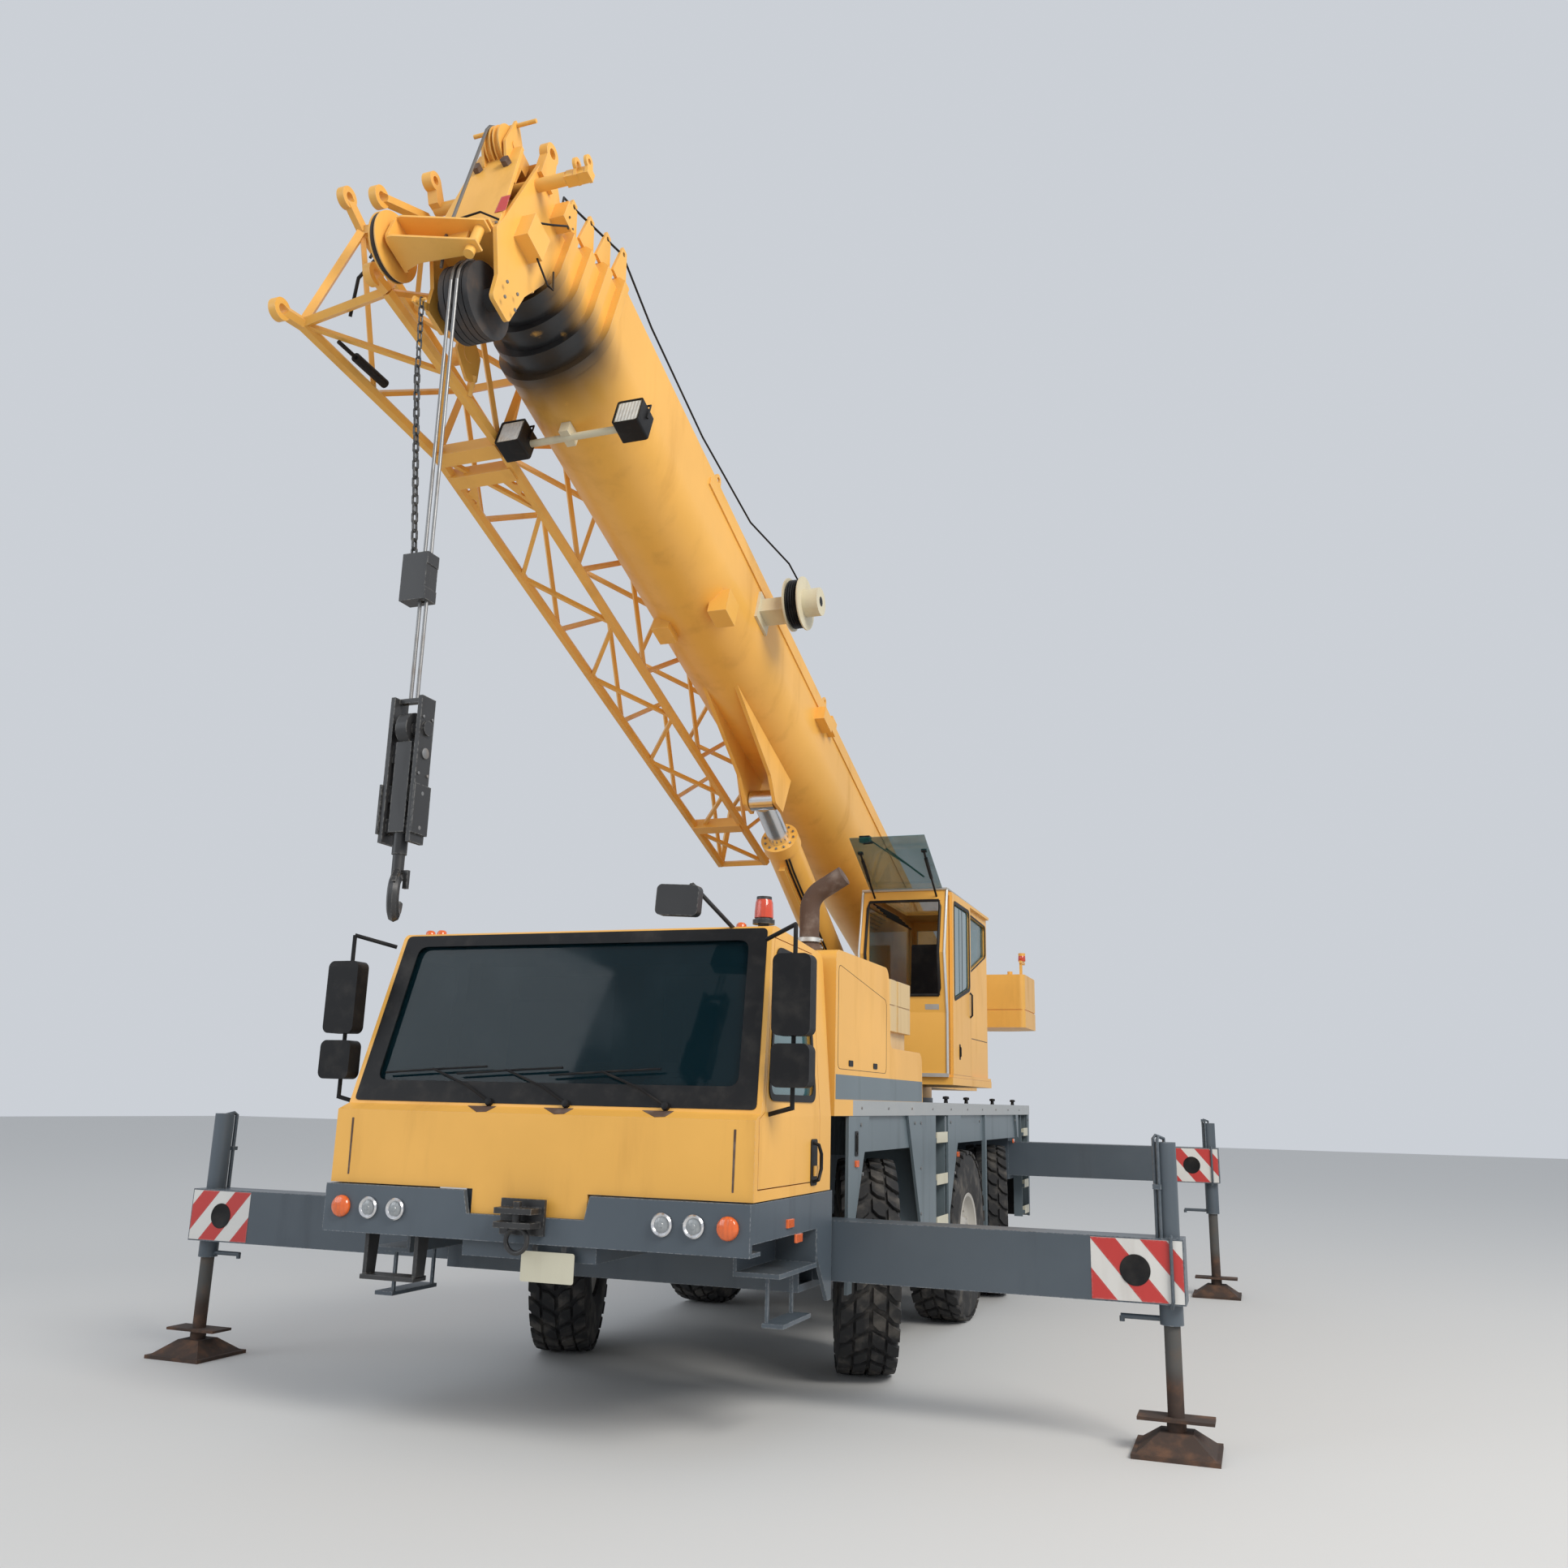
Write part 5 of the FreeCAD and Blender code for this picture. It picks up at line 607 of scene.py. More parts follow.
# %% Wheels on their hubs
for joint in frame["joints"]:
    if joint["name"].startswith("wheel_"):
        body = joint["child"]
        corner = body.removeprefix("wheel_")
        outwards = Vector(joint["axis"]) * (1 if body.endswith("left") else -1)
        spin = outwards.cross(UP).normalized()
        place = Matrix((outwards, spin, outwards.cross(spin))).transposed().to_4x4()
        place.translation = Vector(joint["pos_m"])
        tyre = tyre_form().done("tyre_" + corner, body, "tyre", FINISHES["tyre"], 0, place)
        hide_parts(body)
        rim_form().done("rim_" + corner, body, "tyre", RIM_PAINT, 0, place)
        print(corner, "at", [round(value, 2) for value in place.translation])

# %% [markdown]
# ## The windscreen
# The screen is one large dark pane that looks wider than its opening, because a black
# band is printed round it and runs over the corner posts. Here the band is a thin frame
# that lies on the shell's raked face, with three wiper arms that fold up from scoops below.

# %% Screen band and wipers
PANEL_TOP, SCREEN_FOOT, SCREEN_RAKE = 1.670, 0.124, 0.28415
WIPER_PIVOTS, PIVOT_HIGH = (-0.34, 0.137, 0.725), 1.690


def on_screen(x, z, proud=0.0):
    """A point on the raked screen face, at a distance in front of it."""
    lean = math.hypot(1, SCREEN_RAKE)
    return Vector((x, BUMPER_Y + SCREEN_FOOT + (z - PANEL_TOP) * SCREEN_RAKE - proud / lean,
                   z + proud * SCREEN_RAKE / lean))


def screen_outline(bottom, top, low, high, radius, proud=-0.001):
    corners = ((-bottom, low), (bottom, low), (top, high), (-top, high))
    return rounded([on_screen(x, z, proud) for x, z in corners], radius)


forwards = on_screen(0, 2, 0.004) - on_screen(0, 2)
band = Form().frame(screen_outline(1.232, 1.165, 1.685, 2.652, 0.03),
                    screen_outline(1.115, 1.065, 1.800, 2.585, 0.06), forwards)
band.done("screen_band", "carrier", "trim", FINISHES["trim"])
wipers = Form()
for pivot in WIPER_PIVOTS:
    elbow, tip = on_screen(pivot - 0.16, 1.775, 0.030), on_screen(pivot - 0.40, 1.860, 0.024)
    wipers.tube([on_screen(pivot, PIVOT_HIGH, 0.012), elbow, tip], 0.0075, 6)
    wipers.turned([(0, 0.024), (0.022, 0.020), (0.026, 0.010)], on_screen(pivot, PIVOT_HIGH), forwards, 12)
    for lift, radius in ((0.014, 0.006), (0.007, 0.004)):
        blade = ((tip.x - 0.32, 1.838), (tip.x, 1.860), (tip.x + 0.34, 1.880))
        wipers.tube([on_screen(x, z, lift) for x, z in blade], radius, 6)
wipers.done("screen_wipers", "carrier", "trim", FINISHES["trim"])
print("screen band and", len(WIPER_PIVOTS), "wipers")

# %% [markdown]
# ## Lamps at the front
# Each bumper lamp is a short turned barrel: a bright ring, then a lens that swells a
# little. The turn signals are orange all over, and two small ones stand on each side.

# %% Front lamps
LAMP_Z, LAMP_FACE = 1.119, BUMPER_Y - 0.012
HEAD_LAMPS, TURN_LAMP = (0.793, 0.967), 1.149
bezels, clear, orange = Form(), Form(), Form()
for _, side in SIDES:
    for x in HEAD_LAMPS:
        spot = Vector((side * x, LAMP_FACE, LAMP_Z))
        bezels.turned([(-0.010, 0.058), (0.004, 0.058), (0.012, 0.051), (0.003, 0.036), (-0.002, 0.034)],
                      spot, TO_FRONT, 32)
        clear.turned([(0.000, 0.042), (0.006, 0.036), (0.009, 0.020), (0.010, 0.001)], spot, TO_FRONT, 32)
        clear.turned([(0.008, 0.016), (0.013, 0.012), (0.014, 0.001)], spot, TO_FRONT, 16)
    spot = Vector((side * TURN_LAMP, LAMP_FACE, LAMP_Z))
    orange.turned([(-0.012, 0.058), (0.002, 0.058), (0.014, 0.050), (0.022, 0.030), (0.024, 0.001)],
                  spot, TO_FRONT, 32)
    for y, z in ((0.52, 1.085), (0.66, 1.000)):
        orange.box((side * 1.262, BUMPER_Y + y, z), (side * 1.277, BUMPER_Y + y + 0.10, z + 0.045))
bezels.done("lamp_rings", "carrier", "lamp", FINISHES["rod_chrome"])
clear.done("head_lamp_lenses", "carrier", "lamp", HEAD_LENS)
orange.done("turn_lamps", "carrier", "lamp", ORANGE_LENS, 0.003)
print("lamps at", HEAD_LAMPS, "and", TURN_LAMP)

# %% [markdown]
# ## Plate and step under the bumper
# A plain pale plate hangs under the bumper on two strips. A step hangs below the right
# corner between two tapered side plates, folded from one strip of sheet.

# %% Plate and step
plate_edge = facing_front(BUMPER_Y + 0.016, oblong(-0.01, 0.30, 0.800, 0.950))
plate = Form().slab(rounded(plate_edge, 0.014), TO_REAR * 0.003)
plate.done("bare_plate", "carrier", "cream_paint", PLATE_PAINT)
hangers = Form()
for x in (0.05, 0.22):
    hangers.box((x, BUMPER_Y + 0.019, 0.82), (x + 0.03, BUMPER_Y + 0.024, 1.0))
for x in (-1.02, -0.70):
    side_plate = ((0.06, 1.0), (0.16, 1.0), (0.14, 0.76), (0.06, 0.76))
    hangers.slab([Vector((x, BUMPER_Y + y, z)) for y, z in side_plate], TO_LEFT * 0.025)
hangers.box((-1.02, BUMPER_Y + 0.04, 0.745), (-0.675, BUMPER_Y + 0.16, 0.770))
hangers.done("plate_and_step_hangers", "carrier", "black_paint", FINISHES["black_paint"], 0.004)
print("plate and step")

# %% [markdown]
# ## Mirror glass
# The mirror housings are packed steel shapes. Each gets two thin silvered panes, which
# ride on the door with them.

# %% Mirror glass
MIRROR_X, MIRROR_Y, MIRROR_HEIGHTS = (1.315, 1.495), BUMPER_Y + 0.2265, ((2.066, 2.474), (1.806, 2.014))


def mirror_glass(label, side):
    glasses = Form()
    for low, high in MIRROR_HEIGHTS:
        pane = oblong(side * MIRROR_X[0], side * MIRROR_X[1], low, high)
        glasses.slab(rounded(facing_front(MIRROR_Y, pane), 0.03), TO_REAR * 0.004)
    glasses.done(label + "_mirror_glass", label + "_door", "trim", MIRROR)


print(len(MIRROR_HEIGHTS), "panes in each mirror")

# %% [markdown]
# ## Door windows and handles
# A black rubber frame sits round each door window and a bar crosses the pane. The door
# leans inwards above the belt line, so every point's X comes from its height. The pane has
# an inner and an outer skin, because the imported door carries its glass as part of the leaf.

# %% Door windows and handles
DOOR_X, BELT, LEAN = 1.265, 1.655, 0.0716
DOOR_WINDOW = ((0.241, 1.755), (0.461, 2.530), (0.945, 2.510), (0.965, 1.755))
WINDOW_BAR = ((0.31, 1.990), (0.945, 1.985), (0.945, 2.025), (0.32, 2.030))
# Handle: station and height on the door, and how far it stands out
GRIP = ((0.945, 1.30, 0.004), (0.945, 1.31, 0.034), (0.975, 1.37, 0.040),
        (0.975, 1.45, 0.040), (0.945, 1.50, 0.034), (0.945, 1.51, 0.004))


def on_door(side, station, z, proud=0.0):
    return Vector((side * (DOOR_X - max(0, z - BELT) * LEAN + proud), BUMPER_Y + station, z))


for label, side in SIDES:
    body = label + "_door"
    centre = Vector((side * 1.22, BUMPER_Y + 0.65, 2.13))
    hole = [on_door(side, y, z, 0.001) for y, z in DOOR_WINDOW]
    outer = [point + (point - centre).normalized() * 0.034 for point in hole]
    inner = [point - (point - centre).normalized() * 0.016 for point in hole]
    seal = Form().frame(rounded(outer, 0.09, 6), rounded(inner, 0.07, 6), Vector((side * 0.006, 0, -0.0004)))
    seal.slab([on_door(side, y, z, -0.016) for y, z in WINDOW_BAR], TO_LEFT * side * 0.014)
    seal.done(label + "_door_seal", body, "trim", FINISHES["trim"])
    glass = Form()
    for out in (-0.0215, -0.0340):
        glass.slab(rounded([on_door(side, y, z, out) for y, z in DOOR_WINDOW], 0.05), TO_LEFT * side * 0.001)
    glass.done(label + "_door_glass", body, "glass", DOOR_GLASS)
    handle = Form().tube([on_door(side, y, z, out) for y, z, out in GRIP], 0.010, 8)
    handle.slab(rounded([on_door(side, y, z, 0.001) for y, z in oblong(0.90, 1.01, 1.28, 1.53)], 0.02),
                TO_LEFT * side * 0.004)
    handle.done(label + "_door_handle", body, "trim", FINISHES["trim"])
    mirror_glass(label, side)
print("door windows, handles and mirrors")

# %% [markdown]
# ## Roof lamps
# Small orange markers and a red beacon dome stand on the roof.

# %% Roof lamps
roof_lamps = Form()
for x in (-1.06, -0.98, 0.98):
    roof_lamps.turned([(0, 0.030), (0.016, 0.028), (0.026, 0.018), (0.028, 0.001)],
                      (x, BUMPER_Y + 0.47, 2.668), UP, 16)
roof_lamps.done("roof_marker_lamps", "carrier", "lamp", ORANGE_LENS)
dome = Form().turned([(0, 0.048), (0.004, 0.054), (0.040, 0.053), (0.090, 0.049), (0.115, 0.040),
                      (0.126, 0.020),
                      (0.128, 0.001)], (1.090, BUMPER_Y + 0.530, 2.722), UP, 32)
dome.done("carrier_beacon", "carrier", "lamp", BEACON_LENS)
print("roof lamps")

# %% [markdown]
# ## Warning plates
# Red stripes that fall outwards over white mark the end of each beam, with a black disc
# where the jack's locking pin goes. Each stripe is a slanted strip that is clipped at both
# ends of its plate, edge by edge, as a saw would cut it. All of it rides on the beam.

# %% Warning plates
PLATE_X, DISC_X, BEAM_HIGH, PLATE_MARGIN = (2.73, 3.208), 2.96, 0.332, 0.008
STRIPE_STARTS, STRIPE_WIDE, STRIPE_FALL = (2.46, 2.725, 2.99), 0.137, 0.85
PIN_DISC = [(0, 0.080), (0.0040, 0.080), (0.0045, 0.072), (0.0026, 0.066), (0.0026, 0.001)]
# Plate faces: beam, Y of its face, which way it faces and the height of the beam's underside
FACES = (("front_left", -2.670, -1, 0.735), ("front_right", -2.915, -1, 0.735),
         ("rear_left", 3.642, -1, 1.050), ("rear_left", 3.862, 1, 1.050),
         ("rear_right", 3.887, -1, 1.050), ("rear_right", 4.107, 1, 1.050))


def side_of(beam):
    return 1 if beam.endswith("left") else -1


def stripe(start, low, high):
    """A stripe that falls outwards, cut off at both ends of the plate: pairs of X and Z."""
    fall = (high - low) * STRIPE_FALL
    end = start + STRIPE_WIDE
    corners = [(start, high), (end, high), (end + fall, low), (start + fall, low)]
    for edge, keep in zip(PLATE_X, (1, -1)):
        kept = []
        for k, (x, z) in enumerate(corners):
            last_x, last_z = corners[k - 1]
            if ((x - edge) * keep > 0) != ((last_x - edge) * keep > 0):
                kept.append((edge, last_z + (z - last_z) * (edge - last_x) / (x - last_x)))
            if (x - edge) * keep > 0:
                kept.append((x, z))
        corners = kept
    return corners


for k, (beam, face_y, facing, foot) in enumerate(FACES):
    body, out = "beam_" + beam, Vector((0, facing, 0))
    low, high = foot + PLATE_MARGIN, foot + BEAM_HIGH - PLATE_MARGIN

    def on_plate(corners, proud):
        return [Vector((side_of(beam) * x, face_y, z)) + out * proud for x, z in corners]

    white = Form().slab(on_plate(oblong(*PLATE_X, low, high), 0.0003), out * 0.0012)
    white.done(f"warning_plate_{beam}_{k}", body, "cream_paint", WHITE_STRIPE)
    red = Form()
    for start in STRIPE_STARTS:
        corners = stripe(start, low + 0.001, high - 0.001)
        if len(corners) > 2:
            red.slab(on_plate(corners, 0.0012), out * 0.0011)
    red.done(f"warning_stripes_{beam}_{k}", body, "cream_paint", RED_STRIPE)
    middle = on_plate([(DISC_X, (low + high) / 2)], 0.0005)[0]
    disc = Form().turned(PIN_DISC, middle, out, 40)
    disc.done(f"pin_disc_{beam}_{k}", body, "trim", FINISHES["trim"])
print(len(FACES), "warning plates")

# %% [markdown]
# ## Jack pipes
# Two steel pipes run up beside each jack tube and bend over into its top, held by a clip,
# and a hose loops round the beam's end to the jack's foot. The front right jack draws in
# close under the cab, so its pipes stand on the rear side and lower, without the hose.

# %% Jack pipes
JACK_X, BEAM_HALF = 3.13, 0.11
# Jacks: beam, middle of the beam, height of its underside and height of the jack's top
JACKS = (("front_left", -2.56, 0.735, 1.563), ("front_right", -2.805, 0.735, 1.563 - 0.026),
         ("rear_left", 3.752, 1.050, 1.620), ("rear_right", 3.997, 1.050, 1.620))
# Pipes: how far they stand from the jack's axis, inwards and across
PIPES = ((-0.052, 0.062), (-0.030, 0.076))

for beam, centre_y, foot, jack_top in JACKS:
    side, top, face = side_of(beam), foot + BEAM_HIGH, centre_y - BEAM_HALF
    back = 1 if beam == "front_right" else -1
    pipes = Form()

    def at_jack(inwards, y, z):
        return Vector((side * (JACK_X + inwards), y, z))

    for dx, across in PIPES:
        dy, peak = across * back, jack_top - dx / 4
        pipes.tube([at_jack(dx, centre_y + dy, top - 0.002), at_jack(dx, centre_y + dy, peak + 0.006),
                    at_jack(dx * 0.8, centre_y + dy * 0.7, peak + 0.022),
                    at_jack(0, centre_y, jack_top + 0.018),
                    at_jack(0, centre_y, jack_top - 0.004)], 0.009, 8)
    x0, x1 = sorted((side * (JACK_X - 0.064), side * (JACK_X - 0.018)))
    y0, y1 = sorted((centre_y + 0.088 * back, centre_y + 0.046 * back))
    pipes.box((x0, y0, top + 0.25), (x1, y1, top + 0.275))
    if back < 0:
        pipes.tube([at_jack(0.020, face + 0.020, top + 0.010), at_jack(0.020, face - 0.012, top + 0.006),
                    at_jack(0.020, face - 0.014, foot + 0.02),
                    at_jack(0.010, face + 0.020, foot - 0.018)], 0.010, 8)
    pipes.done("jack_pipes_" + beam, "beam_" + beam, "grey_paint", FINISHES["grey_paint"])
print(len(JACKS), "jacks piped")

# %% [markdown]
# ## Side panels
# The side panels are held by round bolts and carry small orange reflectors. The first one
# has a sunk black pull. Round black knobs stand along the deck edge, and each ladder's
# treads are folded up at the outer edge so that a boot can't slip off.

# %% Side panels
PANEL_X, KNOB_X = 1.26, 1.19
# Ladders: front and rear end, height of the lowest tread and the step between treads
LADDERS = ((-0.055, 0.350, 0.510, 0.313), (3.910, 4.190, 0.660, 0.260))
TREAD = ((1.158, -0.004), (1.264, -0.004), (1.264, 0.080), (1.158, 0.038))
REFLECTORS = ((-2.195, 1.367), (0.715, 1.343), (3.30, 1.40))
PANEL_BOLTS = ((-2.10, 1.60), (-2.06, 1.30), (-0.72, 1.60), (-0.54, 1.60), (-0.54, 1.28), (-0.54, 0.96),
               (0.46, 1.60), (0.60, 1.20), (0.64, 0.86), (1.62, 1.60), (3.42, 1.60), (4.22, 1.60))
KNOB = [(-0.001, 0.018), (0.030, 0.015), (0.034, 0.028), (0.052, 0.026), (0.056, 0.001)]
reflectors, pulls, bolts, treads = Form(), Form(), Form(), Form()
for label, side in SIDES:
    out = Vector((side, 0, 0))

    def on_panel(corners, proud=-0.001):
        return facing_side(side * (PANEL_X + proud), corners)

    for front, rear, foot, pitch in LADDERS if side > 0 else LADDERS[:1]:
        for z in (foot + pitch * k for k in range(4)):
            end = facing_front(front + 0.018, [(side * x, z + h) for x, h in TREAD])
            treads.slab(rounded(end, 0.006), TO_REAR * (rear - front - 0.036))
    for y, z in REFLECTORS:
        reflectors.slab(rounded(on_panel(oblong(y - 0.03, y + 0.03, z - 0.02, z + 0.02)), 0.006), out * 0.012)
    pulls.frame(rounded(on_panel(oblong(-2.228, -2.166, 1.412, 1.562)), 0.01),
                rounded(on_panel(oblong(-2.218, -2.176, 1.422, 1.552)), 0.008), out * 0.006)
    pulls.slab(on_panel(oblong(-2.220, -2.174, 1.420, 1.554)), out * 0.002)
    handle = ((1.44, 0.0), (1.45, 0.008), (1.53, 0.008), (1.54, 0.0))
    pulls.tube([Vector((side * (PANEL_X + proud), -2.197, z)) for z, proud in handle], 0.006, 8)
    for y in (0.60, 1.40, 2.60, 3.70):
        pulls.turned(KNOB, (side * KNOB_X, y, 1.75), UP, 14)
    bolts.bolts(on_panel(PANEL_BOLTS, 0), out, 0.013, 0.006)
    bolts.bolts([Vector((side * 1.265, -2.1 + 0.64 * k, 1.702)) for k in range(10)], out, 0.010, 0.004)
reflectors.done("side_reflectors", "carrier", "lamp", ORANGE_LENS)
pulls.done("panel_pulls_and_knobs", "carrier", "trim", FINISHES["trim"])
treads.done("ladder_treads", "carrier", "cream_paint", PLATE_PAINT)
bolts.done("panel_bolts", "carrier", "steel", FINISHES["steel"])
print("side panels with", len(LADDERS) + 1, "ladders")

# %% [markdown]
# ## Tail
# Rubber flaps and a lamp bar hang under the tail. The photograph doesn't show them, so they
# are as such vehicles have them: a turned lens for each lamp, red, orange and white.

# %% Tail
FLAP_Y, LAMP_BAR_FACE, TAIL_LAMP_Z = 4.262, 4.300, 1.636
TAIL_LAMPS = (("tail_stop_lamps", RED_LENS, (1.150, 1.065)), ("tail_turn_lamps", ORANGE_LENS, (0.955,)),
              ("tail_white_lamps", FINISHES["lamp"], (0.845,)))
flaps = Form()
for _, side in SIDES:
    flaps.slab(facing_front(FLAP_Y, oblong(side * 0.88, side * 1.24, 0.62, 1.66)), TO_REAR * 0.008)
    x0, x1 = sorted((side * 0.66, side * 1.21))
    flaps.box((x0, 4.276, 1.560), (x1, LAMP_BAR_FACE, 1.712))
flaps.done("tail_flaps_and_lamp_bar", "carrier", "trim", FINISHES["trim"])
for name, finish, places in TAIL_LAMPS:
    lamps = Form()
    for x in places:
        for _, side in SIDES:
            lamps.turned([(-0.001, 0.038), (0.008, 0.038), (0.014, 0.030), (0.016, 0.001)],
                         (side * x, LAMP_BAR_FACE, TAIL_LAMP_Z), TO_REAR, 24)
    lamps.done(name, "carrier", "lamp", finish)
print("tail with", len(TAIL_LAMPS), "kinds of lamp")

# %% [markdown]
# ## Cab front
# Below the screen the cab has a scoop under each wiper, where the panel is dished and
# rust has started, and a narrow slot stands at both ends of the panel.

# %% Cab front
PANEL_SLOT = ((1.148, 1.285), (1.158, 1.285), (1.163, 1.590), (1.150, 1.590))
scoops = Form()
for pivot in WIPER_PIVOTS:
    outline = ((pivot - 0.13, 1.668), (pivot + 0.05, 1.668), (pivot + 0.035, 1.640), (pivot - 0.02, 1.637))
    dished = [Vector((x, BUMPER_Y + 0.034 + (z - 1.635) * 2.571, z)) for x, z in outline]
    scoops.slab(dished, Vector((0, -0.0008, 0.0022)))
for _, side in SIDES:
    slot_corners = [(side * x, z) for x, z in PANEL_SLOT]
    scoops.slab(rounded(facing_front(BUMPER_Y + 0.0338, slot_corners), 0.004), TO_FRONT * 0.0014)
scoops.done("cab_front_scoops", "carrier", "rusty_steel", FINISHES["rusty_steel"])
print(len(WIPER_PIVOTS), "scoops")

# %% [markdown]
# ## Engine hood and exhaust
# The hood's side doors show as thin dark joints with flush latches, and its far side
# breathes through louvres. A grey band runs along its foot, and the rusty exhaust stack is
# held by a bright clamp.

# %% Engine hood and exhaust
HOOD_X, STACK = 1.2648, Vector((1.05, -2.56, 0))
HOOD_DOOR = ((-2.62, 1.93), (-1.52, 1.93), (-1.52, 2.42), (-2.62, 2.56))
joints, latches, foot_band = Form(), Form(), Form()
for _, side in SIDES:
    out = Vector((side, 0, 0))
    foot_band.slab(facing_side(side * HOOD_X, oblong(-2.655, -0.520, 1.752, 1.898)), out * 0.0012)
    outer = facing_side(side * HOOD_X, HOOD_DOOR)
    middle = sum(outer, Vector()) / len(outer)
    inner = [point - (point - middle).normalized() * 0.006 for point in outer]
    joints.frame(rounded(outer, 0.05), rounded(inner, 0.047), out * 0.0010)
    for y, z in ((-2.35, 1.970), (-1.80, 1.970)):
        latch = oblong(y - 0.045, y + 0.045, z - 0.018, z + 0.018)
        latches.slab(rounded(facing_side(side * HOOD_X, latch), 0.010), out * 0.004)
for z in (2.02 + 0.045 * k for k in range(9)):
    latches.slab(facing_side(-1.2645, oblong(-2.45, -1.70, z, z + 0.022)), Vector((-0.004, 0, -0.006)))
joints.done("hood_joints", "carrier", "trim", FINISHES["trim"])
foot_band.done("hood_foot_band", "carrier", "panel_paint", FINISHES["panel_paint"])
latches.done("hood_latches_and_louvres", "carrier", "trim", FINISHES["trim"])
clamp = Form()
for z in (2.652, 2.700):
    clamp.turned([(0, 0.064), (0, 0.074), (0.026, 0.074), (0.026, 0.064)], STACK + UP * z, UP, 32)
clamp.bolts([STACK + Vector((0.074, 0, z)) for z in (2.665, 2.713)], TO_LEFT, 0.008, 0.014)
clamp.done("exhaust_clamp", "carrier", "aluminium", FINISHES["aluminium"])
print("hood and exhaust")

# %% [markdown]
# ## Crane cab
# The crane driver's cab has bright corner strips and black rubber round every pane. Its
# front leans out up to the waist and back above it, which one function of height gives.

# %% Crane cab strips
CAB_X0, CAB_X1, CAB_TOP = 0.430, 1.194, 3.556
FRONT_FOOT_Y, WAIST, SILL = 0.68, 2.496, 2.996


def on_front(x, z, proud=0.0):
    """A point on the crane cab's front, which leans out up to its waist and back above it."""
    y = FRONT_FOOT_Y
    if z >= SILL:
        y = 0.58 + (z - SILL) * 0.2143
    elif z >= WAIST:
        y -= (z - WAIST) * 0.2
    return Vector((x, y - proud, z))


strips = Form()
for x in (CAB_X0 + 0.006, CAB_X1 - 0.004):
    strips.tube([on_front(x, z, 0.003) for z in (1.975, WAIST, SILL, 3.545)], 0.0115, 8)
strips.tube([(CAB_X0, 0.692, CAB_TOP), (CAB_X1, 0.692, CAB_TOP)], 0.013, 8)
strips.tube([(CAB_X1 + 0.002, 0.700, CAB_TOP - 0.002), (CAB_X1 + 0.002, 2.385, CAB_TOP - 0.016)], 0.011, 8)
strips.box((0.45, 0.662, 1.962), (1.20, 0.684, 1.992))
strips.done("crane_cab_bright_strips", "superstructure", "aluminium", FINISHES["aluminium"])
print("bright strips up to", CAB_TOP, "m")

# %% [markdown]
# ## Rubber, struts and wiper of the crane cab
# Two gas struts hold the front window up, and its wiper stays on it. Behind the open
# window the roof blind's rods show. All of this is black and thin, so it is one piece. A
# small bare plate sits on the front's foot.

# %% Crane cab rubber
CAB_SIDE, SEAM = 1.1935, 0.006
OPENING = ((0.50, 2.640), (1.124, 2.640), (1.134, 2.70), (1.134, SILL), (1.134, 3.40), (1.120, 3.455),
           (0.504, 3.455), (0.490, 3.40), (0.490, SILL), (0.490, 2.70))
SIDE_WINDOW = ((1.50, 2.896), (2.33, 3.146), (2.33, 3.436), (1.50, 3.456))
WIPER = (([(0.62, 0.135, 3.925), (0.75, 0.22, 3.835), (0.90, 0.42, 3.735)], 0.006),
         ([(0.78, 0.20, 3.836), (1.02, 0.56, 3.645)], 0.008),
         ([(0.62, 0.12, 3.868), (0.62, 0.075, 3.858), (0.70, 0.070, 3.862)], 0.008))


def pane_seal(form, corners, x, wide=0.022, thick=0.004):
    """A flat rubber seal round a side pane."""
    hole = facing_side(x, corners)
    middle = sum(hole, Vector()) / len(hole)
    outer = [point + (point - middle).normalized() * wide for point in hole]
    inner = [point - (point - middle).normalized() * wide * 0.4 for point in hole]
    form.frame(rounded(outer, 0.05), rounded(inner, 0.04), TO_LEFT * thick)


rubber = Form().tube([on_front(x, z, 0.002) for x, z in OPENING], 0.013, 8, closed=True)
pane_seal(rubber, SIDE_WINDOW, CAB_X1 - 0.001)
for x in (0.545, 1.100):
    rubber.tube([(x, 0.235, 3.802), (x, 0.50, 3.62), (x, 0.712, 3.475)], 0.009, 8)
    rubber.tube([(x, 0.300, 3.757), (x, 0.50, 3.62)], 0.015, 8)
    rubber.box((x - 0.02, 0.215, 3.797), (x + 0.02, 0.255, 3.822))
rubber.box((0.57, 0.10, 3.882), (0.66, 0.17, 3.935))
for points, radius in WIPER:
    rubber.tube(points, radius, 6)
for k in range(5):
    x, z = 0.505 + 0.030 * k, 3.455 - 0.028 * k
    rubber.tube([(x, 0.80, z), (x, 1.65, z)], 0.007, 6)
rubber.slab(facing_side(CAB_SIDE, oblong(1.555, 1.555 + SEAM, 1.990, 2.330)), TO_LEFT * 0.0015)
rubber.slab(facing_side(CAB_SIDE, oblong(1.555, 2.36, 2.330 - SEAM, 2.330)), TO_LEFT * 0.0015)
rubber.done("crane_cab_rubber", "superstructure", "trim", FINISHES["trim"])
data_corners = [on_front(x, z, -0.001) for x, z in oblong(1.00, 1.12, 2.52, 2.565)]
data_plate = Form().slab(data_corners, TO_FRONT * 0.0025)
data_plate.done("bare_data_plate", "superstructure", "aluminium", FINISHES["aluminium"])
print("rubber, struts and wiper")

# %% [markdown]
# ## Crane cab door and beacon
# The door's own parts ride on the door, so that they slide back with it: a pane with two
# skins, its seal and middle bar, a sunk handle and a grab rail.

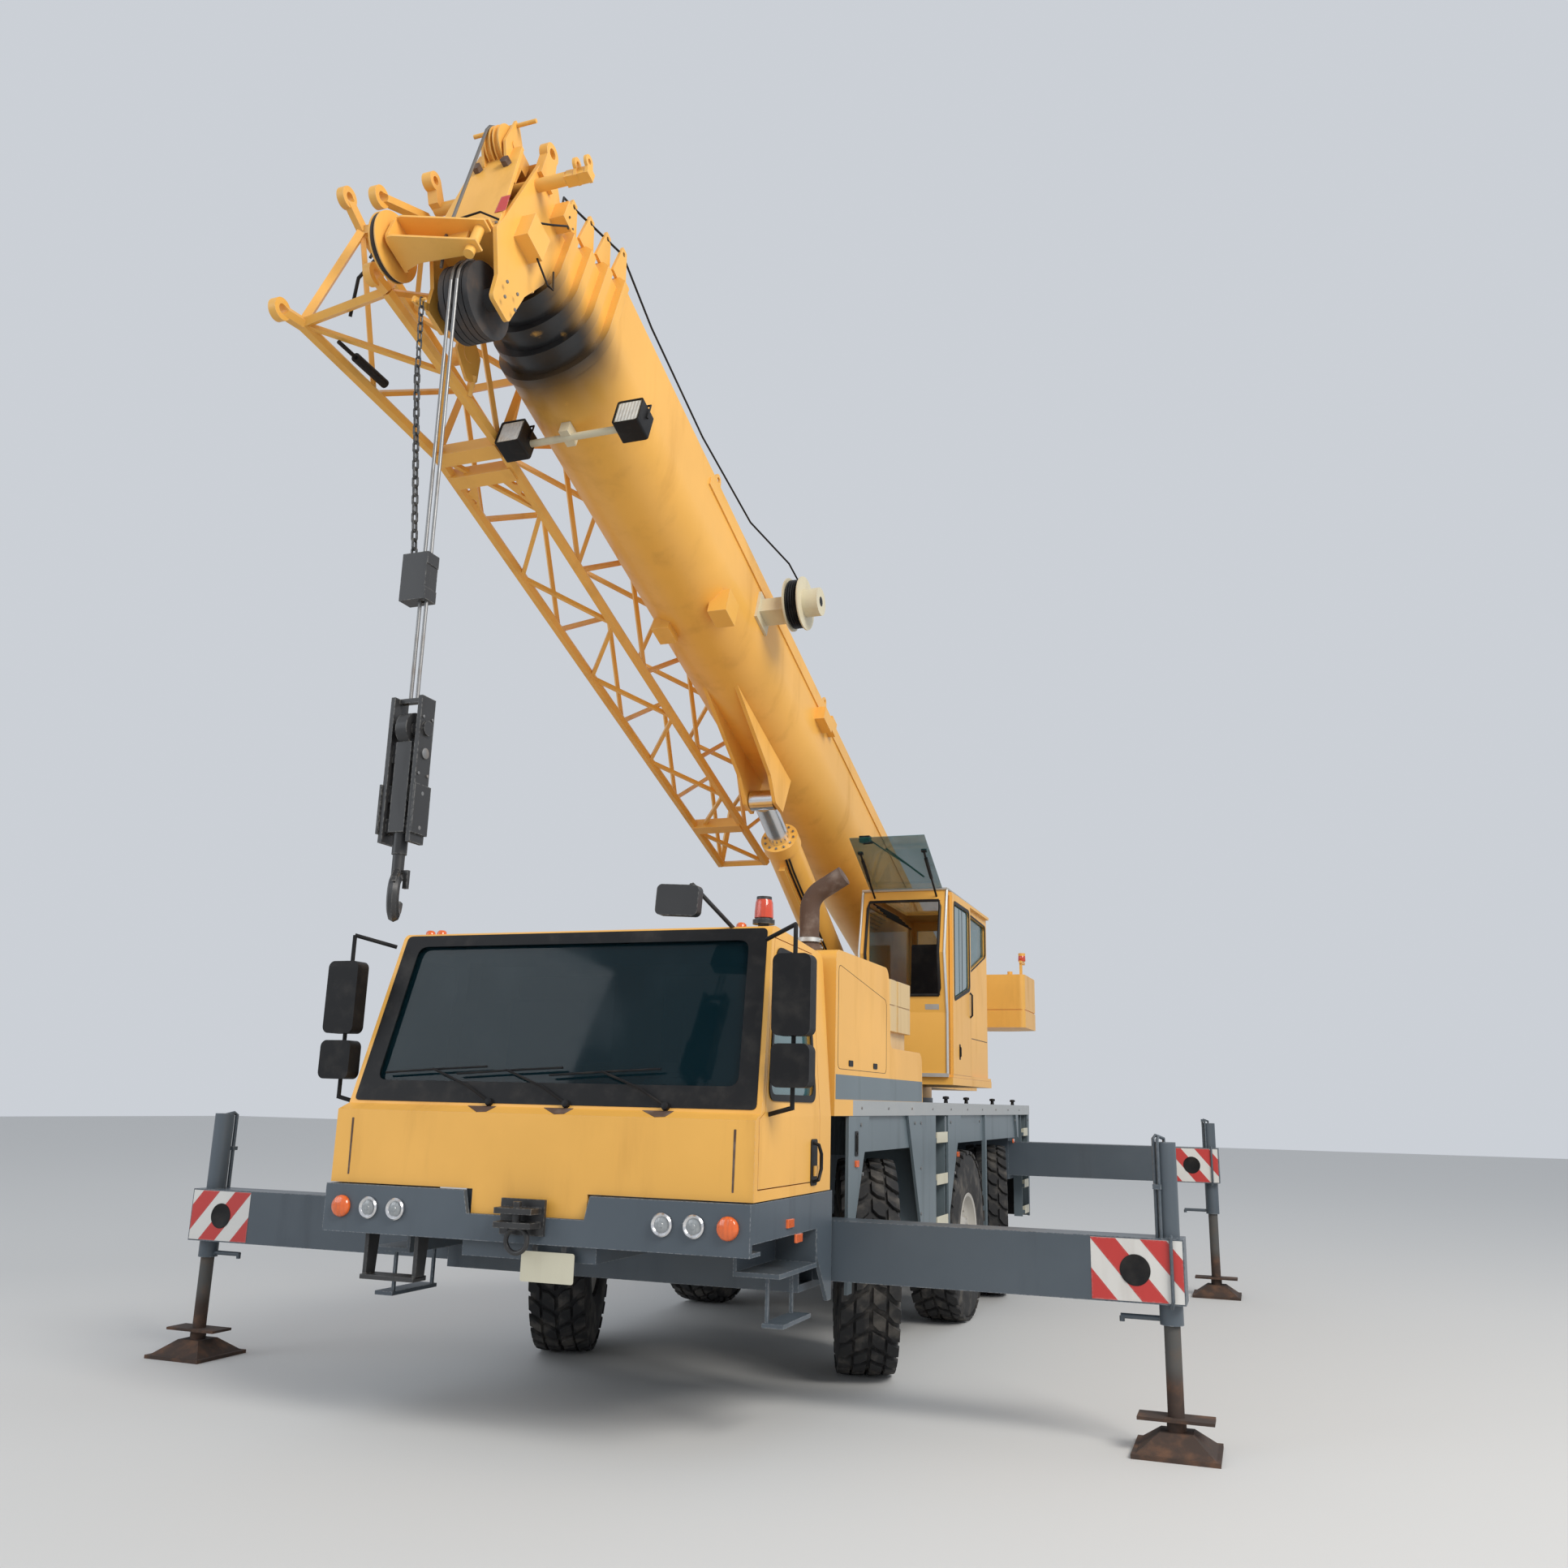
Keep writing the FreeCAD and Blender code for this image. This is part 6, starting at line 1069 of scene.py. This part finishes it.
# %% Crane cab door and beacon
LEAF_X = 1.2295
DOOR_PANE = ((0.79, 2.616), (1.41, 2.756), (1.41, 3.446), (0.79, 3.446))
HANDLE_RAIL = ((1.231, 2.135), (1.240, 2.145), (1.240, 2.215), (1.231, 2.225))
GRAB_RAIL = ((1.231, 2.50), (1.250, 2.52), (1.250, 2.70), (1.231, 2.72))
glass = Form()
for x in (1.2075, 1.2170):
    glass.slab(rounded(facing_side(x, DOOR_PANE), 0.04), TO_LEFT * 0.001)
glass.done("crane_door_glass", "crane_door", "glass", DOOR_GLASS)
leaf = Form()
pane_seal(leaf, DOOR_PANE, LEAF_X, 0.026)
leaf.slab(facing_side(LEAF_X, oblong(1.095, 1.105, 2.68, 3.45)), TO_LEFT * 0.003)
leaf.slab(rounded(facing_side(LEAF_X, oblong(0.955, 1.000, 2.115, 2.245)), 0.012), TO_LEFT * 0.004)
leaf.tube(facing_front(0.977, HANDLE_RAIL), 0.006, 8)
leaf.tube(facing_front(1.420, GRAB_RAIL), 0.009, 8)
leaf.done("crane_door_rubber_and_handles", "crane_door", "trim", FINISHES["trim"])
beacon = Form().turned([(0, 0.041), (0.010, 0.044), (0.060, 0.041), (0.088, 0.030), (0.097, 0.001)],
                       (1.105, 4.98, 3.386), UP, 28)
beacon.done("rear_beacon", "superstructure", "lamp", BEACON_LENS)
print("crane cab door and beacon")

# %% [markdown]
# ## Hoist rope
# Rope winds onto the winch drum in tight turns, runs up over the boom's back to the top
# pulleys, and drops over the front of the head to the lower sheaves. Points along the boom
# come from `at_boom`, and each length rides on the section that carries it.

# %% Hoist rope
ROPE_X, ROPE_RADIUS, WRAPS, WRAP_PITCH = -0.028, 0.009, 31, 0.0186
turns = []
for k in range(WRAPS):
    turns += [(-0.288 + k * WRAP_PITCH, 0.178), (-0.288 + (k + 0.5) * WRAP_PITCH, 0.190)]
drum = Form().turned([(-0.297, 0.171)] + turns + [(0.297, 0.171)], (0, 4.45, 2.21), TO_LEFT, 36)
drum.done("rope_on_drum", "winch_drum", "steel", ROPE)
back_rope = Form().tube([at_boom(ROPE_X, run, height) for run, height in
                         ((-0.27, 0.875), (2.0, 0.885), (5.5, 0.91), (8.95, 0.955))], ROPE_RADIUS, 8)
back_rope.done("rope_on_boom", "boom_base", "steel", ROPE)
over_head = [at_boom(ROPE_X, run, height) for run, height in
             ((8.95, 0.955), (9.70, 0.980), (9.79, 0.988), (9.865, 0.960), (9.905, 0.90), (9.915, 0.85))]
down_front = [at_boom(-0.075, run, height) for run, height in ((9.826, 0.02), (9.80, -0.05), (9.774, -0.16))]
head_rope = Form().tube(over_head + down_front, ROPE_RADIUS, 8)
axle, sheave_line = at_boom(0, 9.56, -0.20), 0.2095
for x in (0.012, 0.048):
    arc = [axle + Vector((x, -sheave_line * math.cos(a), sheave_line * math.sin(a)))
           for a in map(math.radians, range(0, 190, 15))]
    head_rope.tube(arc, 0.0085, 8)
head_rope.done("rope_on_head", "boom_head", "steel", ROPE)
print(WRAPS, "wraps on the drum")

# %% [markdown]
# ## Reel, cables and nose sheave
# A black cable leaves the side reel, lies along the boom's upper corner and threads the
# fins of every section. Short hoses loop round the head. The nose sheave's groove is a
# turned rim of dark iron, so the wheel doesn't look like a plain disc.

# %% Reel, cables and nose sheave
REEL, CABLE_RADIUS = at_boom(0.56, 6.17, 0.58), 0.007
REEL_RUN = ((0.615, 6.19, 0.765), (0.585, 6.38, 0.80), (0.42, 6.80, 0.842),
            (0.35, 7.60, 0.872), (0.318, 8.45, 0.945))
FIN_HOLES = [at_boom(0.290 - 0.036 * k, 8.898 + 0.14 * k, 1.070 - 0.036 * k) for k in range(4)]
HEAD_HOSES = (((0.285, 9.40, 0.60), (0.34, 9.47, 0.50), (0.33, 9.56, 0.38), (0.26, 9.62, 0.34)),
              ((0.27, 9.52, 0.16), (0.33, 9.44, 0.02), (0.30, 9.36, 0.10), (0.24, 9.34, 0.30)),
              ((-0.25, 9.60, 0.55), (-0.36, 9.72, 0.42), (-0.34, 9.84, 0.22), (-0.30, 9.87, 0.08)),
              ((0.20, 9.80, 0.12), (0.10, 9.84, 0.16), (-0.05, 9.84, 0.14), (-0.16, 9.86, 0.08)))


def boom_path(points):
    return [at_boom(*point) for point in points]


coils = [(0.014 + 0.009 * k, 0.182 if k % 2 else 0.170) for k in range(11)]
winding = Form().turned([(0.011, 0.141)] + coils + [(0.109, 0.141)], REEL, TO_LEFT, 36)
winding.turned([(0.130, 0.060), (0.139, 0.056), (0.142, 0.001)], at_boom(0.66, 6.17, 0.58), TO_LEFT, 20)
winding.tube(boom_path(REEL_RUN) + FIN_HOLES[:1], CABLE_RADIUS, 8)
winding.done("reel_cable", "boom_base", "trim", FINISHES["trim"])
cables = Form().tube(FIN_HOLES + boom_path(((0.19, 9.42, 0.90), (0.215, 9.43, 0.76))), CABLE_RADIUS, 8)
for hose in HEAD_HOSES:
    cables.tube(boom_path(hose), 0.006, 8)
cables.done("head_cables", "boom_head", "trim", FINISHES["trim"])
groove = Form().turned([(-0.0125, 0.161), (-0.0125, 0.1755), (0, 0.166), (0.0125, 0.1755), (0.0125, 0.161)],
                       at_boom(-0.35, 9.87, -0.04), TO_LEFT, 40)
groove.done("nose_sheave_groove", "boom_head", "iron", FINISHES["iron"])
print(len(FIN_HOLES), "fins threaded,", len(HEAD_HOSES), "hoses")

# %% [markdown]
# ## Work lamps
# Two work lamps hang under the boom's front end. Each is a square black shell with a thin
# wall, open to the front, a ribbed lens sunk a little into it and a bent mounting hoop.

# %% Work lamps
SHELL_BACK, SHELL_OPEN, LENS_PLACE = 8.466, 8.476, 8.6105
HOOP = ((-0.092, 0), (-0.092, 0.11), (0.092, 0.11), (0.092, 0))
for lamp_x, name in ((0.45, "left"), (-0.33, "right")):

    def on_lamp(across, up, run):
        return at_boom(lamp_x + across, run, up - 0.05)

    def lamp_outline(half_x, half_z, run):
        return rounded([on_lamp(x, z, run) for x, z in oblong(-half_x, half_x, -half_z, half_z)], 0.018)

    shell = Form().frame(lamp_outline(0.084, 0.094, SHELL_OPEN), lamp_outline(0.0760, 0.0860, SHELL_OPEN),
                         ALONG_BOOM * 0.142)
    shell.slab(lamp_outline(0.084, 0.094, SHELL_BACK), ALONG_BOOM * 0.010)
    shell.tube([on_lamp(x, z, 8.54) for x, z in HOOP], 0.007, 8)
    shell.done(f"work_lamp_shell_{name}", "boom_base", "trim", FINISHES["trim"])
    ribbed = Form().slab(lamp_outline(0.068, 0.078, LENS_PLACE), ALONG_BOOM * 0.003)
    ribbed.done(f"work_lamp_lens_{name}", "boom_base", "lamp", FINISHES["lamp"])
print("two work lamps")

# %% [markdown]
# ## Small parts of the head
# These are the things a rigger's hand would find: two rusty stubs, bolt heads on sensor
# boxes and round the axle's end plates, and a red mark on the edge of the head's plate.

# %% Small parts of the head
HEAD_FACE, PLATE_X_OUT = 9.7965, 0.2345
RED_MARK = ((0.150, 0.20), (0.215, 0.20), (0.205, 0.34), (0.150, 0.34))
studs = Form()
for x, height in ((-0.095, 0.675), (0.085, 0.675)):
    studs.turned([(-0.001, 0.030), (0.030, 0.030), (0.034, 0.022), (0.036, 0.001)],
                 at_boom(x, 9.796, height), ALONG_BOOM, 6)
studs.bolts([at_boom(0.300, 9.38 + 0.055 * k, 0.62 + 0.03 * k) for k in (0, 1)], TO_LEFT, 0.007, 0.003)
studs.done("head_stubs", "boom_head", "rusty_steel", FINISHES["rusty_steel"])
mark = Form().slab([at_boom(x, HEAD_FACE, height) for x, height in RED_MARK], ALONG_BOOM * 0.002)
mark.done("red_edge_mark", "boom_head", "cream_paint", RED_STRIPE)
face_spots = [at_boom(x, HEAD_FACE, 0.10) for x in (-0.19, -0.10, 0.0, 0.10, 0.19)]
head_bolts = Form().bolts(face_spots, ALONG_BOOM, 0.009, 0.006)
for _, side in SIDES:
    spots = [at_boom(side * PLATE_X_OUT, 9.56 + 0.07 * math.cos(a), -0.20 + 0.07 * math.sin(a))
             for a in (0.5, 2.1, 3.7, 5.3)]
    head_bolts.bolts(spots, (side, 0, 0), 0.010, 0.006)
head_bolts.done("head_bolts", "boom_head", "steel", FINISHES["steel"])
print("head studs and bolts")

# %% [markdown]
# ## Luffing cylinder
# Two steel pipes lie under the barrel, and a ring of bolts holds its gland. The cylinder's
# line is given by its foot pin and its tilt, and both pieces ride on the barrel.

# %% Luffing cylinder
LUFF_TILT = math.radians(31.097)
LUFF_PIN, LUFF_LINE = Vector((0, 2.65, 2.08)), Vector((0, -math.cos(LUFF_TILT), math.sin(LUFF_TILT)))
LUFF_UNDER = Vector((0, -math.sin(LUFF_TILT), -math.cos(LUFF_TILT)))
PIPE_RUN = ((0.25, 0.11), (0.35, 0.158), (3.20, 0.158), (3.34, 0.145))
GLAND_AT, GLAND_BOLTS, GLAND_CIRCLE = 3.4535, 12, 0.126
pipe = Form()
for x in (0.055, 0.085):
    pipe.tube([LUFF_PIN + LUFF_LINE * t + LUFF_UNDER * r + TO_LEFT * x for t, r in PIPE_RUN], 0.009, 8)
pipe.done("luff_pipes", "luff_barrel", "trim", FINISHES["trim"])
gland_face = LUFF_PIN + LUFF_LINE * GLAND_AT
gland = Form().bolts([gland_face + (TO_LEFT * math.cos(a) + LUFF_UNDER * math.sin(a)) * GLAND_CIRCLE
                      for a in full_turn(GLAND_BOLTS)], LUFF_LINE, 0.011, 0.010)
gland.done("luff_gland_bolts", "luff_barrel", "steel", FINISHES["steel"])
print(GLAND_BOLTS, "gland bolts")

# %% [markdown]
# ## Hook block
# The hook block's plates are joined by three pins. Each pin shows a round head on both
# sides, with small bolts that hold its keeper.

# %% Hook block pins
HOOK_X, HOOK_Y, BLOCK_HALF = 0.030, -5.36117, 0.0865
keepers = Form()
for out in (-1, 1):
    x = HOOK_X + out * BLOCK_HALF
    for z in (3.25, 3.06, 2.90):
        keepers.turned([(-0.004, 0.026), (0.007, 0.026), (0.010, 0.018), (0.011, 0.001)],
                       (x, HOOK_Y, z), (out, 0, 0), 16)
    spots = [Vector((x, HOOK_Y + dy, z)) for dy in (-0.034, 0.034) for z in (3.42, 3.15)]
    keepers.bolts(spots, (out, 0, 0), 0.008, 0.005)
keepers.done("hook_block_pins", "hook", "steel", FINISHES["steel"])
print("hook block pins")

# %% [markdown]
# ## The chain's upper end
# The weight that stops the hoist hangs on a chain of welded links. The last eight are
# bent here from round bar, every other one turned a quarter, and the top one goes round a
# pin on a short arm that carries the head's right cheek forward beside the sheaves.

# %% Chain end
LINK_BAR, LINK_ROUND, LINK_STRAIGHT, CHAIN_PITCH, NEW_LINKS = 0.0045, 0.0125, 0.016, 0.0483, 8
ARM = ((-5.20, 5.745), (-5.385, 5.700), (-5.392, 5.664), (-5.355, 5.664), (-5.21, 5.700))
last_link, pin = Vector((-0.1393, -5.3612, 5.2765)), Vector((-0.150, -5.370, 5.678))
climb = (pin - last_link).normalized()
chain = Form()
for k in range(1, NEW_LINKS + 1):
    centre = last_link + climb * CHAIN_PITCH * k
    across = TO_LEFT if k % 2 else TO_REAR
    bends = [(end * math.cos(a), end * (LINK_STRAIGHT + LINK_ROUND * math.sin(a)))
             for end in (1, -1) for a in (math.pi * step / 6 for step in range(7))]
    link = [centre + across * (LINK_ROUND * out) + climb * up for out, up in bends]
    chain.tube(link, LINK_BAR, 8, closed=True)
chain.done("limit_chain_end", "hook_fall", slots["limit_weight"], FINISHES[slots["limit_weight"]])
arm = Form().slab(facing_side(-0.197, ARM), TO_LEFT * 0.013)
arm.tube([(-0.190, pin.y, pin.z), (-0.126, pin.y, pin.z)], 0.008, 12)
arm.done("limit_chain_arm", "boom_head", "yellow_paint", FINISHES["yellow_paint"])
print(NEW_LINKS, "links up to the pin")

# %% [markdown]
# ## The stowed jib's damper
# A black damper lies on the jib's lower chord, a thin rod in a thicker tube, and two hoses
# loop from the head to the jib.

# %% Jib damper
JIB_LINES = ((((-0.90, 9.50, -0.185), (-0.90, 9.32, -0.130)), 0.012, 8),
             (((-0.90, 9.36, -0.142), (-0.90, 9.10, -0.062)), 0.027, 12),
             (((-0.50, 9.55, 0.36), (-0.62, 9.72, 0.20), (-0.72, 9.70, 0.05),
               (-0.80, 9.58, -0.10)), 0.010, 8),
             (((-0.47, 9.60, 0.42), (-0.56, 9.80, 0.30), (-0.60, 9.78, 0.08)), 0.008, 8))
damper = Form()
for points, radius, sides in JIB_LINES:
    damper.tube(boom_path(points), radius, sides)
damper.done("jib_damper_and_hoses", "boom_base", "trim", FINISHES["trim"])
print("jib damper and hoses")

# %% [markdown]
# ## Floor and sky
# A pale floor and a pale sky let the crane stand out. Both are plain, so nothing in them is
# reflected that the crane itself doesn't have.

# %% Floor and sky
FLOOR_HALF, SKY, SKY_STRENGTH = 60, (0.80, 0.84, 0.90, 1), 0.75
floor_mesh = bpy.data.meshes.new("floor")
floor_corners = [(x, y, 0) for x, y in oblong(-FLOOR_HALF, FLOOR_HALF, -FLOOR_HALF, FLOOR_HALF)]
floor_mesh.from_pydata(floor_corners, [], [(0, 1, 2, 3)])
floor_mesh.materials.append(Finish("pale_floor", (0.62, 0.62, 0.61), 0.9).material)
floor = bpy.data.objects.new("floor", floor_mesh)
bpy.context.scene.collection.objects.link(floor)
world = bpy.data.worlds.new("pale_sky")
bpy.context.scene.world = world
world.use_nodes = True
background = world.node_tree.nodes["Background"].inputs
background["Color"].default_value = SKY
background["Strength"].default_value = SKY_STRENGTH
print("floor", 2 * FLOOR_HALF, "m wide")

# %% [markdown]
# ## Lamps
# One broad lamp from the vehicle's left front models its forms, as the low sun does in the
# photograph. A weaker, cooler one from the other side keeps the shadows open.

# %% Lamps


def lamp(name, spot, target, size, power, colour=(1, 1, 1)):
    data = bpy.data.lights.new(name, "AREA")
    data.size = size
    data.energy = power
    data.color = colour
    light = bpy.data.objects.new(name, data)
    light.location = spot
    light.rotation_euler = (Vector(target) - Vector(spot)).to_track_quat("-Z", "Y").to_euler()
    bpy.context.scene.collection.objects.link(light)


CRANE_MIDDLE = (0, -1, 2.5)
lamp("key", (14, -10, 14), CRANE_MIDDLE, 8, 2600, (1, 0.96, 0.90))
lamp("fill", (-14, -16, 9), CRANE_MIDDLE, 10, 700, (0.90, 0.95, 1))
bpy.context.scene.view_settings.view_transform = "Standard"
print("two lamps")
